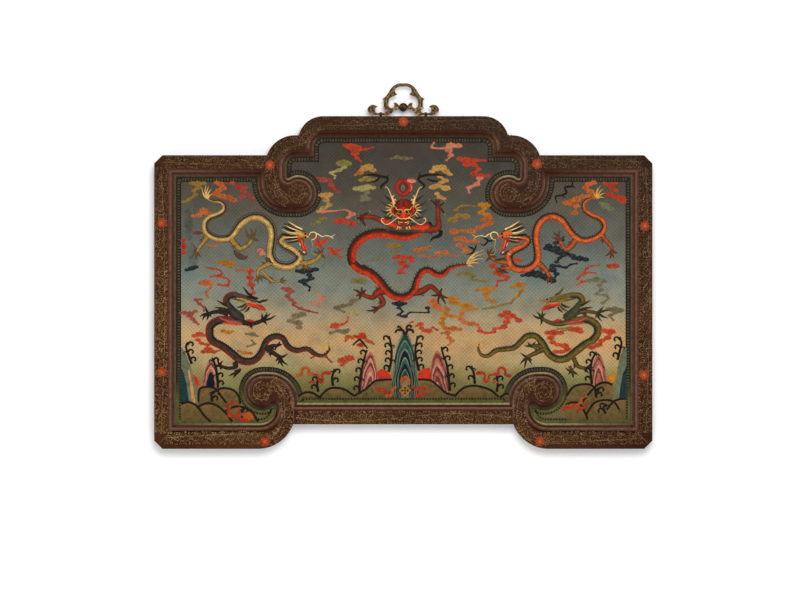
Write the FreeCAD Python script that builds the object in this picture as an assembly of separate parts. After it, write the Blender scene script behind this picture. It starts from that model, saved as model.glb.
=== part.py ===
"""Lacquered wall panel in a stepped, scrolled frame, hung from a swinging gilt bronze loop.

Frame of reference: X to the right as seen from the front, Z up, and the wall is the plane Y = 0, so the
front faces -Y. The origin is on the wall plane, at the middle of the body's width and height.
All lengths are millimetres.
"""

import FreeCAD, Part
import math
import os
from collections import namedtuple

Vector = FreeCAD.Vector

# Body and silhouette
BODY_WIDTH = 1096.0
BODY_HEIGHT = 732.0
SHOULDER_DROP = 86.0        # crest top down to the top of the shoulder rails
NOTCH_DROP = 42.0           # crest top down to the notch between crest and step
NOTCH_HALF = 230.0          # centre line to the notch
CREST_RADIUS = 55.0         # rounded ends of the crest
STEP_FLAT = 8.0             # level run between the notch and the step's round end
STEP_RADIUS = 66.0
FOOT_RISE = 54.0            # feet down to the bottom rail's underside
FOOT_HALF = 243.0           # centre line to where a foot meets the bottom rail
FOOT_RADIUS = 81.0
CORNER_CHAMFER = 18.0

# Frame section
FRAME_DEPTH = 42.0          # wall plane to the flat front of the frame
FLAT_WIDTH = 30.0           # decorated flat of a frame member
MOULDING_WIDTH = 17.0       # flat's inner edge to the sight edge
SIGHT_BEAD_WIDTH = 5.0      # small bead beside the field
SIGHT_BEAD_FOOT = 2.5       # field up to where the bead springs
SIGHT_BEAD_RISE = 2.0
HOLLOW_WIDTH = 4.0          # sunk hollow between the bead and the cushion
HOLLOW_RISE = 3.5
CUSHION_STEP = 1.0          # cushion's top below the flat
FIELD_RECESS = 14.0         # flat front back to the painted field

# Inner corner of the crest, where the crest turns down into the step
CUSP_INSET = 33.0           # notch in to the cusp, across
CREST_INNER_RADIUS = 20.0

# Scrolls under the shoulders
SHOULDER_SCROLL_SETBACK = 92.0  # notch out to the scroll's outer edge
SHOULDER_SCROLL_NECK = 65.0
SHOULDER_SCROLL_LEAD = 14.0     # straight run before the bend
SHOULDER_SCROLL_BEND = 64.0
SHOULDER_SCROLL_REACH = 25.0    # neck to the head's centre
SHOULDER_SCROLL_HEAD = 41.0
SHOULDER_SCROLL_CURL = 32.0
SHOULDER_SCROLL_FILLET = 19.0

# Scrolls above the feet
FOOT_SCROLL_INSET = 13.0        # foot's end in to the scroll's outer edge
FOOT_SCROLL_NECK = 53.0
FOOT_SCROLL_LEAD = 2.0
FOOT_SCROLL_BEND = 66.0
FOOT_SCROLL_REACH = 27.0
FOOT_SCROLL_HEAD = 42.0
FOOT_SCROLL_CURL = 32.0
FOOT_SCROLL_FILLET = 33.0

THROAT_RADIUS = 3.0         # round at the bottom of a scroll's throat

# Panel inside the frame
LEDGE = 10.0                # how far the panel goes in behind the moulding
BACK_LIP = 12.0             # how far the frame's back lip comes in over the panel
GROUND_THICKNESS = 2.0      # cloth, gesso and lacquer coat
BOARD_THICKNESS = 12.0
BOARD_COUNT = 5
PANEL_CLEARANCE = 0.3

# Battens across the back of the boards
BATTEN_WIDTH = 44.0
BATTEN_SETBACK = 141.0      # stile's sight edge in to the middle of an outer batten
RIB_DEPTH = 4.0             # dovetail rib let into the boards
RIB_NECK = 16.0
RIB_FLARE = 3.0
RIB_CLEARANCE = 0.2
BATTEN_TENON_LENGTH = 8.0
BATTEN_TENON_WIDTH = 20.0
BATTEN_TENON_THICKNESS = 6.0

# Loose tenons and pegs in the frame's joints
TENON_LENGTH = 36.0
TENON_WIDTH = 15.0
TENON_THICKNESS = 9.0
TENON_CLEARANCE = 0.1
PEG_RADIUS = 2.5
PEG_LENGTH = 33.0
PEG_CLEARANCE = 0.05
FOOT_JOINT_STEP = 12.0      # foot curve's end out to the joint between foot scroll and foot rail

# Hanger
HANGER_HALF_SPAN = 79.0     # centre line to the tip of a foot
HANGER_RISE = 67.5          # swing axis up to the top of the arch
HANGER_THICKNESS = 6.0
HANGER_AXIS_RISE = 6.0      # crest top up to the swing axis
HANGER_BAR_RADIUS = 2.2
HANGER_BAR_LENGTH = 18.0
EYE_CLEARANCE = 0.05        # between the bar and the eye's bore
EYE_WALL = 1.8
EYE_WIDTH = 6.0
EYE_SIDE_CLEARANCE = 0.6
EYE_NECK_RADIUS = 2.8
EYE_SHANK_RADIUS = 2.0
EYE_SHANK_LENGTH = 28.0
SHANK_CLEARANCE = 0.05
WASHER_RADIUS = 6.5
WASHER_THICKNESS = 1.2
BOSS_RADIUS = 9.5
BOSS_DOME = 4.0
BOSS_SHANK_RADIUS = 2.6
ROVE_RADIUS = 5.5
ROVE_THICKNESS = 1.5

# Outline of the hanger's right half, as shares of its half span and of its rise above the swing axis.
# Each run is one smooth curve, and runs meet at tips.
HANGER_OUTLINE_SHARES = [
    [(0.0, 1.0), (0.147, 0.993), (0.269, 0.922), (0.358, 0.814), (0.419, 0.691), (0.539, 0.531),
     (0.6, 0.498)],
    [(0.6, 0.498), (0.556, 0.443), (0.547, 0.339), (0.556, 0.231), (0.578, 0.195)],
    [(0.578, 0.195), (0.481, 0.127)],
    [(0.481, 0.127), (0.5, 0.065), (0.631, 0.037), (0.767, 0.062), (0.789, 0.127), (0.78, 0.185),
     (0.714, 0.231)],
    [(0.714, 0.231), (0.767, 0.277), (0.856, 0.303), (0.917, 0.283), (0.978, 0.215), (1.0, 0.127),
     (0.955, 0.045), (0.825, -0.025), (0.631, -0.037), (0.481, -0.05)],
    [(0.481, -0.05), (0.375, -0.016), (0.297, 0.072), (0.239, 0.127), (0.133, 0.16), (0.0, 0.166)],
]
HANGER_WINDOW_SHARES = [
    [(0.0, 0.896), (0.164, 0.876), (0.222, 0.814), (0.231, 0.726), (0.195, 0.674), (0.164, 0.648)],
    [(0.164, 0.648), (0.239, 0.603), (0.328, 0.56), (0.389, 0.498), (0.411, 0.391), (0.403, 0.267),
     (0.344, 0.195), (0.283, 0.215), (0.245, 0.283), (0.275, 0.355)],
    [(0.275, 0.355), (0.222, 0.375), (0.164, 0.339), (0.125, 0.29), (0.0, 0.277)],
]
FOOT_BAR_SHARE = 0.627      # middle of a foot's bar, across
BOSS_SHARE = 0.2215         # middle of the crossbar, up

OVERRUN = 1.0               # how far a cutting solid runs past what it cuts

# Levels and places that follow from the sizes above
HALF_WIDTH = BODY_WIDTH / 2
CREST_Z = BODY_HEIGHT / 2
BASE_Z = -BODY_HEIGHT / 2
SHOULDER_Z = CREST_Z - SHOULDER_DROP
NOTCH_Z = CREST_Z - NOTCH_DROP
RAIL_Z = BASE_Z + FOOT_RISE
BAND_WIDTH = FLAT_WIDTH + MOULDING_WIDTH
CREST_SIGHT_Z = CREST_Z - BAND_WIDTH
CUSP_HALF = NOTCH_HALF - CUSP_INSET
SHOULDER_SCROLL_HALF = NOTCH_HALF + SHOULDER_SCROLL_SETBACK
FOOT_SCROLL_HALF = FOOT_HALF - FOOT_SCROLL_INSET
CUSP_Z = NOTCH_Z - BAND_WIDTH
SHOULDER_SIGHT_Z = SHOULDER_Z - BAND_WIDTH
STILE_SIGHT_HALF = HALF_WIDTH - BAND_WIDTH
BATTEN_HALF = STILE_SIGHT_HALF - BATTEN_SETBACK
FOOT_SIGHT_Z = BASE_Z + BAND_WIDTH
RAIL_SIGHT_Z = RAIL_Z + BAND_WIDTH
FRONT_Y = -FRAME_DEPTH
FIELD_Y = FRONT_Y + FIELD_RECESS
BOARD_FRONT_Y = FIELD_Y + GROUND_THICKNESS
BOARD_BACK_Y = BOARD_FRONT_Y + BOARD_THICKNESS
AXIS_Z = CREST_Z + HANGER_AXIS_RISE
HANGER_Y = FRONT_Y / 2
EYE_HALF = FOOT_BAR_SHARE * HANGER_HALF_SPAN
BOSS_Z = AXIS_Z + BOSS_SHARE * HANGER_RISE
EYE_BORE_RADIUS = HANGER_BAR_RADIUS + EYE_CLEARANCE
EYE_RADIUS = EYE_BORE_RADIUS + EYE_WALL

Scroll = namedtuple("Scroll", "x z across along far neck lead bend reach head curl fillet")
SHOULDER_SCROLL = Scroll(
    SHOULDER_SCROLL_HALF, SHOULDER_SIGHT_Z, -1, -1, SHOULDER_SIGHT_Z - CUSP_Z,
    SHOULDER_SCROLL_NECK, SHOULDER_SCROLL_LEAD, SHOULDER_SCROLL_BEND, SHOULDER_SCROLL_REACH,
    SHOULDER_SCROLL_HEAD, SHOULDER_SCROLL_CURL, SHOULDER_SCROLL_FILLET,
)
FOOT_SCROLL = Scroll(
    FOOT_SCROLL_HALF, RAIL_SIGHT_Z, 1, 1, FOOT_SIGHT_Z - RAIL_SIGHT_Z,
    FOOT_SCROLL_NECK, FOOT_SCROLL_LEAD, FOOT_SCROLL_BEND, FOOT_SCROLL_REACH,
    FOOT_SCROLL_HEAD, FOOT_SCROLL_CURL, FOOT_SCROLL_FILLET,
)


def at(x, z, y=0.0):
    """A point of the front view, at depth y."""
    return Vector(x, y, z)


def line(start, end):
    return Part.LineSegment(start, end).toShape()


def arc(centre, start, end, through):
    """Arc about centre from start to end, passing the side of the centre that through points to."""
    radius = (start - centre).Length
    middle = centre + Vector(through).normalize() * radius
    return Part.Arc(start, middle, end).toShape()


def mirrored(shape):
    """The same shape on the other side of the centre line."""
    return shape.mirror(Vector(0, 0, 0), Vector(1, 0, 0))


def closed_outline(right_half):
    """A closed wire from edges that run from the top centre to the bottom centre on the right."""
    left_half = [mirrored(edge) for edge in right_half]
    return Part.Wire(Part.__sortEdges__(right_half + left_half))


def prism(wire, front, back):
    """The region inside a wire of the front view, solid from depth front to depth back."""
    face = Part.Face(wire)
    face.translate(Vector(0, front, 0))
    return face.extrude(Vector(0, back - front, 0))


def block(low_x, high_x, low_y, high_y, low_z, high_z):
    return Part.makeBox(high_x - low_x, high_y - low_y, high_z - low_z, Vector(low_x, low_y, low_z))


def round_end_run(radius, drop):
    """How far a round end of that radius reaches sideways while it falls by drop."""
    return math.sqrt(2 * radius * drop - drop * drop)


# Outlines of the frame

def outer_outline():
    """Silhouette of the body."""
    crest_run = round_end_run(CREST_RADIUS, NOTCH_DROP)
    crest_start = at(NOTCH_HALF - crest_run, CREST_Z)
    crest_centre = crest_start - at(0, CREST_RADIUS)
    notch = at(NOTCH_HALF, NOTCH_Z)
    step_start = at(NOTCH_HALF + STEP_FLAT, NOTCH_Z)
    step_centre = step_start - at(0, STEP_RADIUS)
    step_end = shoulder_joint_top()
    corner_top = at(HALF_WIDTH, SHOULDER_Z)
    corner_low = at(HALF_WIDTH, BASE_Z)
    foot_run = round_end_run(FOOT_RADIUS, FOOT_RISE)
    foot_start = at(FOOT_HALF + foot_run, BASE_Z)
    foot_centre = foot_start + at(0, FOOT_RADIUS)
    foot_end = at(FOOT_HALF, RAIL_Z)
    inward = at(-CORNER_CHAMFER, 0)
    downward = at(0, -CORNER_CHAMFER)
    return closed_outline([
        line(at(0, CREST_Z), crest_start),
        arc(crest_centre, crest_start, notch, at(1, 1)),
        line(notch, step_start),
        arc(step_centre, step_start, step_end, at(1, 1)),
        line(step_end, corner_top + inward),
        line(corner_top + inward, corner_top + downward),
        line(corner_top + downward, corner_low - downward),
        line(corner_low - downward, corner_low + inward),
        line(corner_low + inward, foot_start),
        arc(foot_centre, foot_start, foot_end, at(-1, -1)),
        line(foot_end, at(0, RAIL_Z)),
    ])


def shoulder_joint_top():
    """Where the step's round end meets the top of the shoulder rail."""
    fall = NOTCH_Z - SHOULDER_Z
    return at(NOTCH_HALF + STEP_FLAT + round_end_run(STEP_RADIUS, fall), SHOULDER_Z)


def scroll_edges(scroll, inset):
    """A scroll's sight edge, set into the frame by inset, from its outer corner round to the far rail.

    Across runs from the scroll's outer edge towards its head and along runs from the near rail's sight
    edge towards its tip. Every stretch is tangent to the next.
    """
    def place(across, along):
        return at(scroll.x + scroll.across * across, scroll.z + scroll.along * along)

    def side(across, along):
        return at(scroll.across * across, scroll.along * along)

    tip = scroll.lead + scroll.bend
    head_across = scroll.neck + scroll.reach
    bend_centre = (scroll.bend, scroll.lead)
    head_centre = (head_across, tip - scroll.head)
    curl_centre = (head_across, tip - 2 * scroll.head + scroll.curl)
    throat_reach = scroll.reach - THROAT_RADIUS
    throat_span = scroll.curl + THROAT_RADIUS
    throat_lift = math.sqrt(throat_span ** 2 - throat_reach ** 2)
    throat_centre = (scroll.neck + THROAT_RADIUS, curl_centre[1] - throat_lift)
    fillet_centre = (scroll.neck + scroll.fillet, scroll.far + scroll.fillet)

    curl_radius = scroll.curl - inset
    meeting_share = (scroll.curl - inset) / throat_span
    curl_end = place(
        curl_centre[0] - throat_reach * meeting_share,
        curl_centre[1] - throat_lift * meeting_share,
    )
    corner = place(inset, -inset)
    bend_start = place(inset, scroll.lead)
    bend_end = place(bend_centre[0], tip - inset)
    head_start = place(head_across, tip - inset)
    head_end = place(head_across, curl_centre[1] - curl_radius)
    throat_end = place(scroll.neck - inset, throat_centre[1])
    fillet_start = place(scroll.neck - inset, fillet_centre[1])
    fillet_end = place(fillet_centre[0], scroll.far - inset)
    return [
        line(corner, bend_start),
        arc(place(*bend_centre), bend_start, bend_end, side(-1, 1)),
        line(bend_end, head_start),
        arc(place(*head_centre), head_start, head_end, side(1, 0)),
        arc(place(*curl_centre), head_end, curl_end, side(-throat_reach / 2, -scroll.curl)),
        arc(place(*throat_centre), curl_end, throat_end, side(-THROAT_RADIUS, throat_lift / throat_span)),
        line(throat_end, fillet_start),
        arc(place(*fillet_centre), fillet_start, fillet_end, side(-1, -1)),
    ]


def sight_outline(inset=0.0):
    """Opening of the frame at its sight edge, or the same line set into the frame by inset."""
    corner_turn = CREST_SIGHT_Z - CREST_INNER_RADIUS
    corner_centre = at(CUSP_HALF - CREST_INNER_RADIUS, corner_turn)
    corner_start = corner_centre + at(0, CREST_INNER_RADIUS + inset)
    corner_end = corner_centre + at(CREST_INNER_RADIUS + inset, 0)
    cusp = at(CUSP_HALF + inset, CUSP_Z + inset)
    shoulder_scroll = scroll_edges(SHOULDER_SCROLL, inset)
    foot_scroll = scroll_edges(FOOT_SCROLL, inset)
    stile_top = at(STILE_SIGHT_HALF + inset, SHOULDER_SIGHT_Z + inset)
    stile_low = at(STILE_SIGHT_HALF + inset, FOOT_SIGHT_Z - inset)
    shoulder_corner = shoulder_scroll[0].Vertexes[0].Point
    step_end = shoulder_scroll[-1].Vertexes[-1].Point
    foot_corner = foot_scroll[0].Vertexes[0].Point
    foot_end = foot_scroll[-1].Vertexes[-1].Point
    return closed_outline([
        line(at(0, CREST_SIGHT_Z + inset), corner_start),
        arc(corner_centre, corner_start, corner_end, at(1, 1)),
        line(corner_end, cusp),
        line(cusp, step_end),
        *shoulder_scroll,
        line(shoulder_corner, stile_top),
        line(stile_top, stile_low),
        line(stile_low, foot_end),
        *foot_scroll,
        line(foot_corner, at(0, RAIL_SIGHT_Z - inset)),
    ])


def panel_outline(growth):
    """Stepped outline that runs outside the sight edge by growth, or inside it where growth is negative."""
    step = SHOULDER_SCROLL_HALF - SHOULDER_SCROLL_NECK + growth
    foot = FOOT_SCROLL_HALF + FOOT_SCROLL_NECK - growth
    side = STILE_SIGHT_HALF + growth
    cusp = CUSP_HALF + growth
    right = [
        at(0, CREST_SIGHT_Z + growth),
        at(cusp, CREST_SIGHT_Z + growth),
        at(cusp, CUSP_Z + growth),
        at(step, CUSP_Z + growth),
        at(step, SHOULDER_SIGHT_Z + growth),
        at(side, SHOULDER_SIGHT_Z + growth),
        at(side, FOOT_SIGHT_Z - growth),
        at(foot, FOOT_SIGHT_Z - growth),
        at(foot, RAIL_SIGHT_Z - growth),
        at(0, RAIL_SIGHT_Z - growth),
    ]
    return closed_outline([line(a, b) for a, b in zip(right, right[1:])])


def moulding_void():
    """The open space in front of the bead, hollow and cushion, swept along the whole sight edge."""
    def profile(inset, height):
        return at(0, CREST_SIGHT_Z + inset, FIELD_Y - height)

    hollow_start = SIGHT_BEAD_WIDTH
    hollow_end = hollow_start + HOLLOW_WIDTH
    hollow_top = SIGHT_BEAD_FOOT + HOLLOW_RISE
    cushion_top = FIELD_RECESS - CUSHION_STEP
    bend_share = math.sin(math.pi / 4)
    bead_start = profile(0, SIGHT_BEAD_FOOT)
    bead_top = profile(SIGHT_BEAD_WIDTH / 2, SIGHT_BEAD_FOOT + SIGHT_BEAD_RISE)
    bead_end = profile(hollow_start, SIGHT_BEAD_FOOT)
    hollow_middle = profile(
        hollow_start + HOLLOW_WIDTH * bend_share,
        SIGHT_BEAD_FOOT + HOLLOW_RISE * (1 - bend_share),
    )
    cushion_start = profile(hollow_end, hollow_top)
    cushion_middle = profile(
        hollow_end + (MOULDING_WIDTH - hollow_end) * (1 - bend_share),
        hollow_top + (cushion_top - hollow_top) * bend_share,
    )
    cushion_end = profile(MOULDING_WIDTH, cushion_top)
    front_outer = profile(MOULDING_WIDTH, FIELD_RECESS + OVERRUN)
    front_inner = profile(-OVERRUN, FIELD_RECESS + OVERRUN)
    bead_inner = profile(-OVERRUN, SIGHT_BEAD_FOOT)
    section = Part.Wire([
        line(bead_inner, bead_start),
        Part.Arc(bead_start, bead_top, bead_end).toShape(),
        Part.Arc(bead_end, hollow_middle, cushion_start).toShape(),
        Part.Arc(cushion_start, cushion_middle, cushion_end).toShape(),
        line(cushion_end, front_outer),
        line(front_outer, front_inner),
        line(front_inner, bead_inner),
    ])
    right_corner = 1
    sweep = Part.BRepOffsetAPI.MakePipeShell(sight_outline())
    sweep.setTransitionMode(right_corner)
    sweep.setBiNormalMode(Vector(0, 1, 0))
    sweep.add(section, False, False)
    sweep.build()
    sweep.makeSolid()
    return sweep.shape()


# Joints between the frame's members, on the right

def on_line(start, end, z):
    """The point of the line through start and end at height z."""
    share = (z - start.z) / (end.z - start.z)
    return start + (end - start) * share


def past(start, end, distance):
    """The point that lies distance beyond end, coming from start."""
    return end + (end - start).normalize() * distance


CREST_JOINT = (at(NOTCH_HALF, NOTCH_Z), at(CUSP_HALF, CUSP_Z))
SHOULDER_JOINT = (shoulder_joint_top(), at(SHOULDER_SCROLL_HALF, SHOULDER_SIGHT_Z))
TOP_MITRE = (at(HALF_WIDTH, SHOULDER_Z), at(STILE_SIGHT_HALF, SHOULDER_SIGHT_Z))
FOOT_MITRE = (at(HALF_WIDTH, BASE_Z), at(STILE_SIGHT_HALF, FOOT_SIGHT_Z))
RAIL_JOINT = (at(FOOT_HALF, RAIL_Z), at(FOOT_SCROLL_HALF, RAIL_SIGHT_Z))
FOOT_JOINT_X = FOOT_HALF + round_end_run(FOOT_RADIUS, FOOT_RISE) + FOOT_JOINT_STEP


def member_regions():
    """The part of the front view that each right-hand or middle member takes up."""
    def outside(joint):
        return past(joint[1], joint[0], OVERRUN)

    def inside(joint):
        return past(joint[0], joint[1], BACK_LIP)

    def flip(point):
        return at(-point.x, point.z)

    crest_far = past(CREST_JOINT[1], CREST_JOINT[0], NOTCH_HALF)
    crest_in = inside(CREST_JOINT)
    shoulder_in = inside(SHOULDER_JOINT)
    shoulder_out = SHOULDER_JOINT[0]
    top_in = inside(TOP_MITRE)
    low_in = inside(FOOT_MITRE)
    rail_in = inside(RAIL_JOINT)
    rail_out = outside(RAIL_JOINT)
    floor = outside(FOOT_MITRE).z
    return {
        "crest_rail": [crest_far, crest_in, flip(crest_in), flip(crest_far)],
        "right_shoulder_scroll": [
            outside(CREST_JOINT), crest_in, at(0, crest_in.z), at(0, 0), at(shoulder_in.x, 0), shoulder_in,
            shoulder_out, at(shoulder_out.x, CREST_Z),
        ],
        "right_shoulder_rail": [
            at(shoulder_out.x, CREST_Z), shoulder_out, shoulder_in, top_in, outside(TOP_MITRE),
        ],
        "right_stile": [outside(TOP_MITRE), top_in, low_in, outside(FOOT_MITRE)],
        "right_foot_rail": [at(FOOT_JOINT_X, floor), at(FOOT_JOINT_X, low_in.z), low_in, outside(FOOT_MITRE)],
        "right_foot_scroll": [
            rail_out, rail_in, at(rail_in.x, 0), at(low_in.x, 0), low_in, at(FOOT_JOINT_X, low_in.z),
            at(FOOT_JOINT_X, floor), at(rail_out.x, floor),
        ],
        "bottom_rail": [rail_out, rail_in, flip(rail_in), flip(rail_out)],
    }


def tenon_places():
    """Middle and turn, in degrees, of each loose tenon on the right."""
    crest_x = (CUSP_HALF + LEDGE + NOTCH_HALF) / 2
    crest_share = (NOTCH_HALF - crest_x) / CUSP_INSET
    crest_z = NOTCH_Z + (CUSP_Z - NOTCH_Z) * crest_share
    shoulder_z = (SHOULDER_Z + SHOULDER_SIGHT_Z + LEDGE) / 2
    rail_z = (RAIL_Z + RAIL_SIGHT_Z - LEDGE) / 2
    corner_x = (HALF_WIDTH - CORNER_CHAMFER / 2 + STILE_SIGHT_HALF + LEDGE) / 2
    corner_inset = HALF_WIDTH - corner_x
    scrolls = [
        (at(crest_x, crest_z), 90),
        (on_line(*SHOULDER_JOINT, shoulder_z), 0),
        (at(FOOT_JOINT_X, (BASE_Z + FOOT_SIGHT_Z - LEDGE) / 2), 0),
        (on_line(*RAIL_JOINT, rail_z), 0),
    ]
    corners = [
        (at(corner_x, SHOULDER_Z - corner_inset), 45),
        (at(corner_x, BASE_Z + corner_inset), -45),
    ]
    return scrolls, corners


def turned(shape, place):
    middle, turn = place
    shape = shape.copy()
    shape.rotate(Vector(0, 0, 0), Vector(0, 1, 0), turn)
    shape.translate(middle)
    return shape


def tenon_block(clearance=0.0):
    """A loose tenon at the origin of the front view, half way through the frame's depth."""
    length = TENON_LENGTH / 2 + clearance
    thickness = TENON_THICKNESS / 2 + clearance
    width = TENON_WIDTH / 2 + clearance
    middle = FRONT_Y / 2
    return block(-length, length, middle - thickness, middle + thickness, -width, width)


def peg_pair(clearance=0.0):
    """The two pegs that lock a tenon, one on each side of its joint, driven in from the back."""
    pegs = []
    for side in (-1, 1):
        foot = at(side * TENON_LENGTH / 4, 0)
        pegs.append(Part.makeCylinder(PEG_RADIUS + clearance, PEG_LENGTH + clearance, foot, Vector(0, -1, 0)))
    return pegs


def both_sides(shapes):
    return shapes + [mirrored(shape) for shape in shapes]


def tenons(places):
    holed = tenon_block().cut(peg_pair(PEG_CLEARANCE))
    return both_sides([turned(holed, place) for place in places])


def pegs(places):
    return both_sides([turned(peg, place) for place in places for peg in peg_pair()])


# Battens, boards and the lacquer ground

Batten = namedtuple("Batten", "x low high")
BATTENS = {
    "left_batten": Batten(-BATTEN_HALF, FOOT_SIGHT_Z, SHOULDER_SIGHT_Z),
    "centre_batten": Batten(0.0, RAIL_SIGHT_Z, CREST_SIGHT_Z),
    "right_batten": Batten(BATTEN_HALF, FOOT_SIGHT_Z, SHOULDER_SIGHT_Z),
}


def rib(x, low, high, clearance=0.0):
    """The dovetail that stands off a batten's front, or with clearance the groove that takes it."""
    neck = RIB_NECK / 2 + clearance
    flare = neck + RIB_FLARE
    depth = BOARD_BACK_Y - RIB_DEPTH - clearance
    section = Part.makePolygon([
        Vector(x - neck, BOARD_BACK_Y, low),
        Vector(x + neck, BOARD_BACK_Y, low),
        Vector(x + flare, depth, low),
        Vector(x - flare, depth, low),
        Vector(x - neck, BOARD_BACK_Y, low),
    ])
    return Part.Face(section).extrude(Vector(0, 0, high - low))


def batten_tenons(batten, clearance=0.0):
    """The tongues at a batten's two ends, or with clearance their mortises in the rails."""
    lip = BACK_LIP - LEDGE
    width = BATTEN_TENON_WIDTH / 2 + clearance
    middle = BOARD_BACK_Y / 2
    thickness = BATTEN_TENON_THICKNESS / 2 + clearance
    length = BATTEN_TENON_LENGTH + clearance
    return block(
        batten.x - width, batten.x + width, middle - thickness, middle + thickness,
        batten.low + lip - length, batten.high - lip + length,
    )


def batten_solid(batten):
    lip = BACK_LIP - LEDGE
    low = batten.low + lip
    high = batten.high - lip
    body = block(batten.x - BATTEN_WIDTH / 2, batten.x + BATTEN_WIDTH / 2, BOARD_BACK_Y, 0, low, high)
    return body.fuse([rib(batten.x, low, high), batten_tenons(batten)]).removeSplitter()


def core_boards():
    """Horizontal boards, butted edge to edge, grooved at the back for the battens' dovetails."""
    panel = prism(panel_outline(LEDGE - PANEL_CLEARANCE), BOARD_FRONT_Y, BOARD_BACK_Y)
    grooves = [rib(batten.x, BASE_Z, CREST_Z, RIB_CLEARANCE) for batten in BATTENS.values()]
    panel = panel.cut(grooves)
    top = CREST_SIGHT_Z + LEDGE
    board_height = (top - FOOT_SIGHT_Z + LEDGE) / BOARD_COUNT
    boards = {}
    for number in range(BOARD_COUNT):
        high = top - number * board_height
        strip = block(-HALF_WIDTH, HALF_WIDTH, FRONT_Y, 0, high - board_height, high)
        boards[f"core_board_{number + 1}"] = panel.common(strip)
    return boards


def lacquer_ground():
    return prism(panel_outline(LEDGE - PANEL_CLEARANCE), FIELD_Y, BOARD_FRONT_Y)


# Frame members

def frame_members():
    ring = prism(outer_outline(), FRONT_Y, 0)
    scroll_joints, corner_joints = tenon_places()
    mortises = [turned(tenon_block(TENON_CLEARANCE), place) for place in scroll_joints + corner_joints]
    peg_holes = [
        turned(peg, place) for place in scroll_joints + corner_joints for peg in peg_pair(PEG_CLEARANCE)
    ]
    cuts = [
        prism(sight_outline(), FRONT_Y - OVERRUN, FIELD_Y),
        prism(panel_outline(LEDGE), FIELD_Y, BOARD_BACK_Y),
        prism(panel_outline(LEDGE - BACK_LIP), BOARD_BACK_Y, OVERRUN),
        moulding_void(),
        *both_sides(mortises),
        *both_sides(peg_holes),
        *[batten_tenons(batten, TENON_CLEARANCE) for batten in BATTENS.values()],
        *[shank_hole(side) for side in (-1, 1)],
    ]
    for cut in cuts:
        ring = ring.cut(cut)
    members = {}
    for node, corners in member_regions().items():
        region = Part.makePolygon(corners + corners[:1])
        members[node] = ring.common(prism(region, FRONT_Y - OVERRUN, OVERRUN))
    for node in list(members):
        if node.startswith("right_"):
            members[node.replace("right_", "left_")] = mirrored(members[node])
    return members


# Hanger

def eye_axis(side):
    """Where the swing axis passes the middle of an eye."""
    return Vector(side * EYE_HALF, HANGER_Y, AXIS_Z)


def shank_hole(side):
    top = Vector(side * EYE_HALF, HANGER_Y, CREST_Z)
    return Part.makeCylinder(EYE_SHANK_RADIUS + SHANK_CLEARANCE, EYE_SHANK_LENGTH, top, Vector(0, 0, -1))


def hanger_curves(runs):
    """Edges of one closed line of the hanger, from runs of shares for its right half."""
    edges = []
    for run in runs:
        points = [at(across * HANGER_HALF_SPAN, AXIS_Z + up * HANGER_RISE) for across, up in run]
        curve = Part.BSplineCurve()
        curve.interpolate(points)
        edges.append(curve.toShape())
    return closed_outline(edges)


def hanger_loop():
    """Openwork plate with a round bar through the middle of each foot."""
    front = HANGER_Y - HANGER_THICKNESS / 2
    back = HANGER_Y + HANGER_THICKNESS / 2
    plate = prism(hanger_curves(HANGER_OUTLINE_SHARES), front, back)
    cuts = [prism(hanger_curves(HANGER_WINDOW_SHARES), front - OVERRUN, back + OVERRUN)]
    hole_start = Vector(0, front - OVERRUN, BOSS_Z)
    hole_length = HANGER_THICKNESS + 2 * OVERRUN
    hole_radius = BOSS_SHANK_RADIUS + SHANK_CLEARANCE
    cuts.append(Part.makeCylinder(hole_radius, hole_length, hole_start, Vector(0, 1, 0)))
    gap = EYE_WIDTH / 2 + EYE_SIDE_CLEARANCE
    reach = 2 * HANGER_BAR_RADIUS
    bars = []
    for side in (-1, 1):
        centre = eye_axis(side)
        cuts.append(block(
            centre.x - gap, centre.x + gap, front - OVERRUN, back + OVERRUN,
            centre.z - reach, centre.z + reach,
        ))
        start = centre - Vector(HANGER_BAR_LENGTH / 2, 0, 0)
        bars.append(Part.makeCylinder(HANGER_BAR_RADIUS, HANGER_BAR_LENGTH, start, Vector(1, 0, 0)))
    return plate.cut(cuts).fuse(bars)


def hanger_boss():
    """Domed rivet that stands on the plate's front, with its shank through plate and rove."""
    face = HANGER_Y - HANGER_THICKNESS / 2
    ball_radius = (BOSS_RADIUS ** 2 + BOSS_DOME ** 2) / (2 * BOSS_DOME)
    ball = Part.makeSphere(ball_radius, Vector(0, face - BOSS_DOME + ball_radius, BOSS_Z))
    dome = ball.common(block(
        -BOSS_RADIUS, BOSS_RADIUS, face - BOSS_DOME, face, BOSS_Z - BOSS_RADIUS, BOSS_Z + BOSS_RADIUS,
    ))
    shank_length = HANGER_THICKNESS + ROVE_THICKNESS
    shank = Part.makeCylinder(BOSS_SHANK_RADIUS, shank_length, Vector(0, face, BOSS_Z), Vector(0, 1, 0))
    return dome.fuse(shank)


def boss_rove():
    """Washer that the rivet is closed over, behind the plate."""
    start = Vector(0, HANGER_Y + HANGER_THICKNESS / 2, BOSS_Z)
    disc = Part.makeCylinder(ROVE_RADIUS, ROVE_THICKNESS, start, Vector(0, 1, 0))
    return disc.cut(Part.makeCylinder(
        BOSS_SHANK_RADIUS + SHANK_CLEARANCE, ROVE_THICKNESS, start, Vector(0, 1, 0),
    ))


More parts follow.
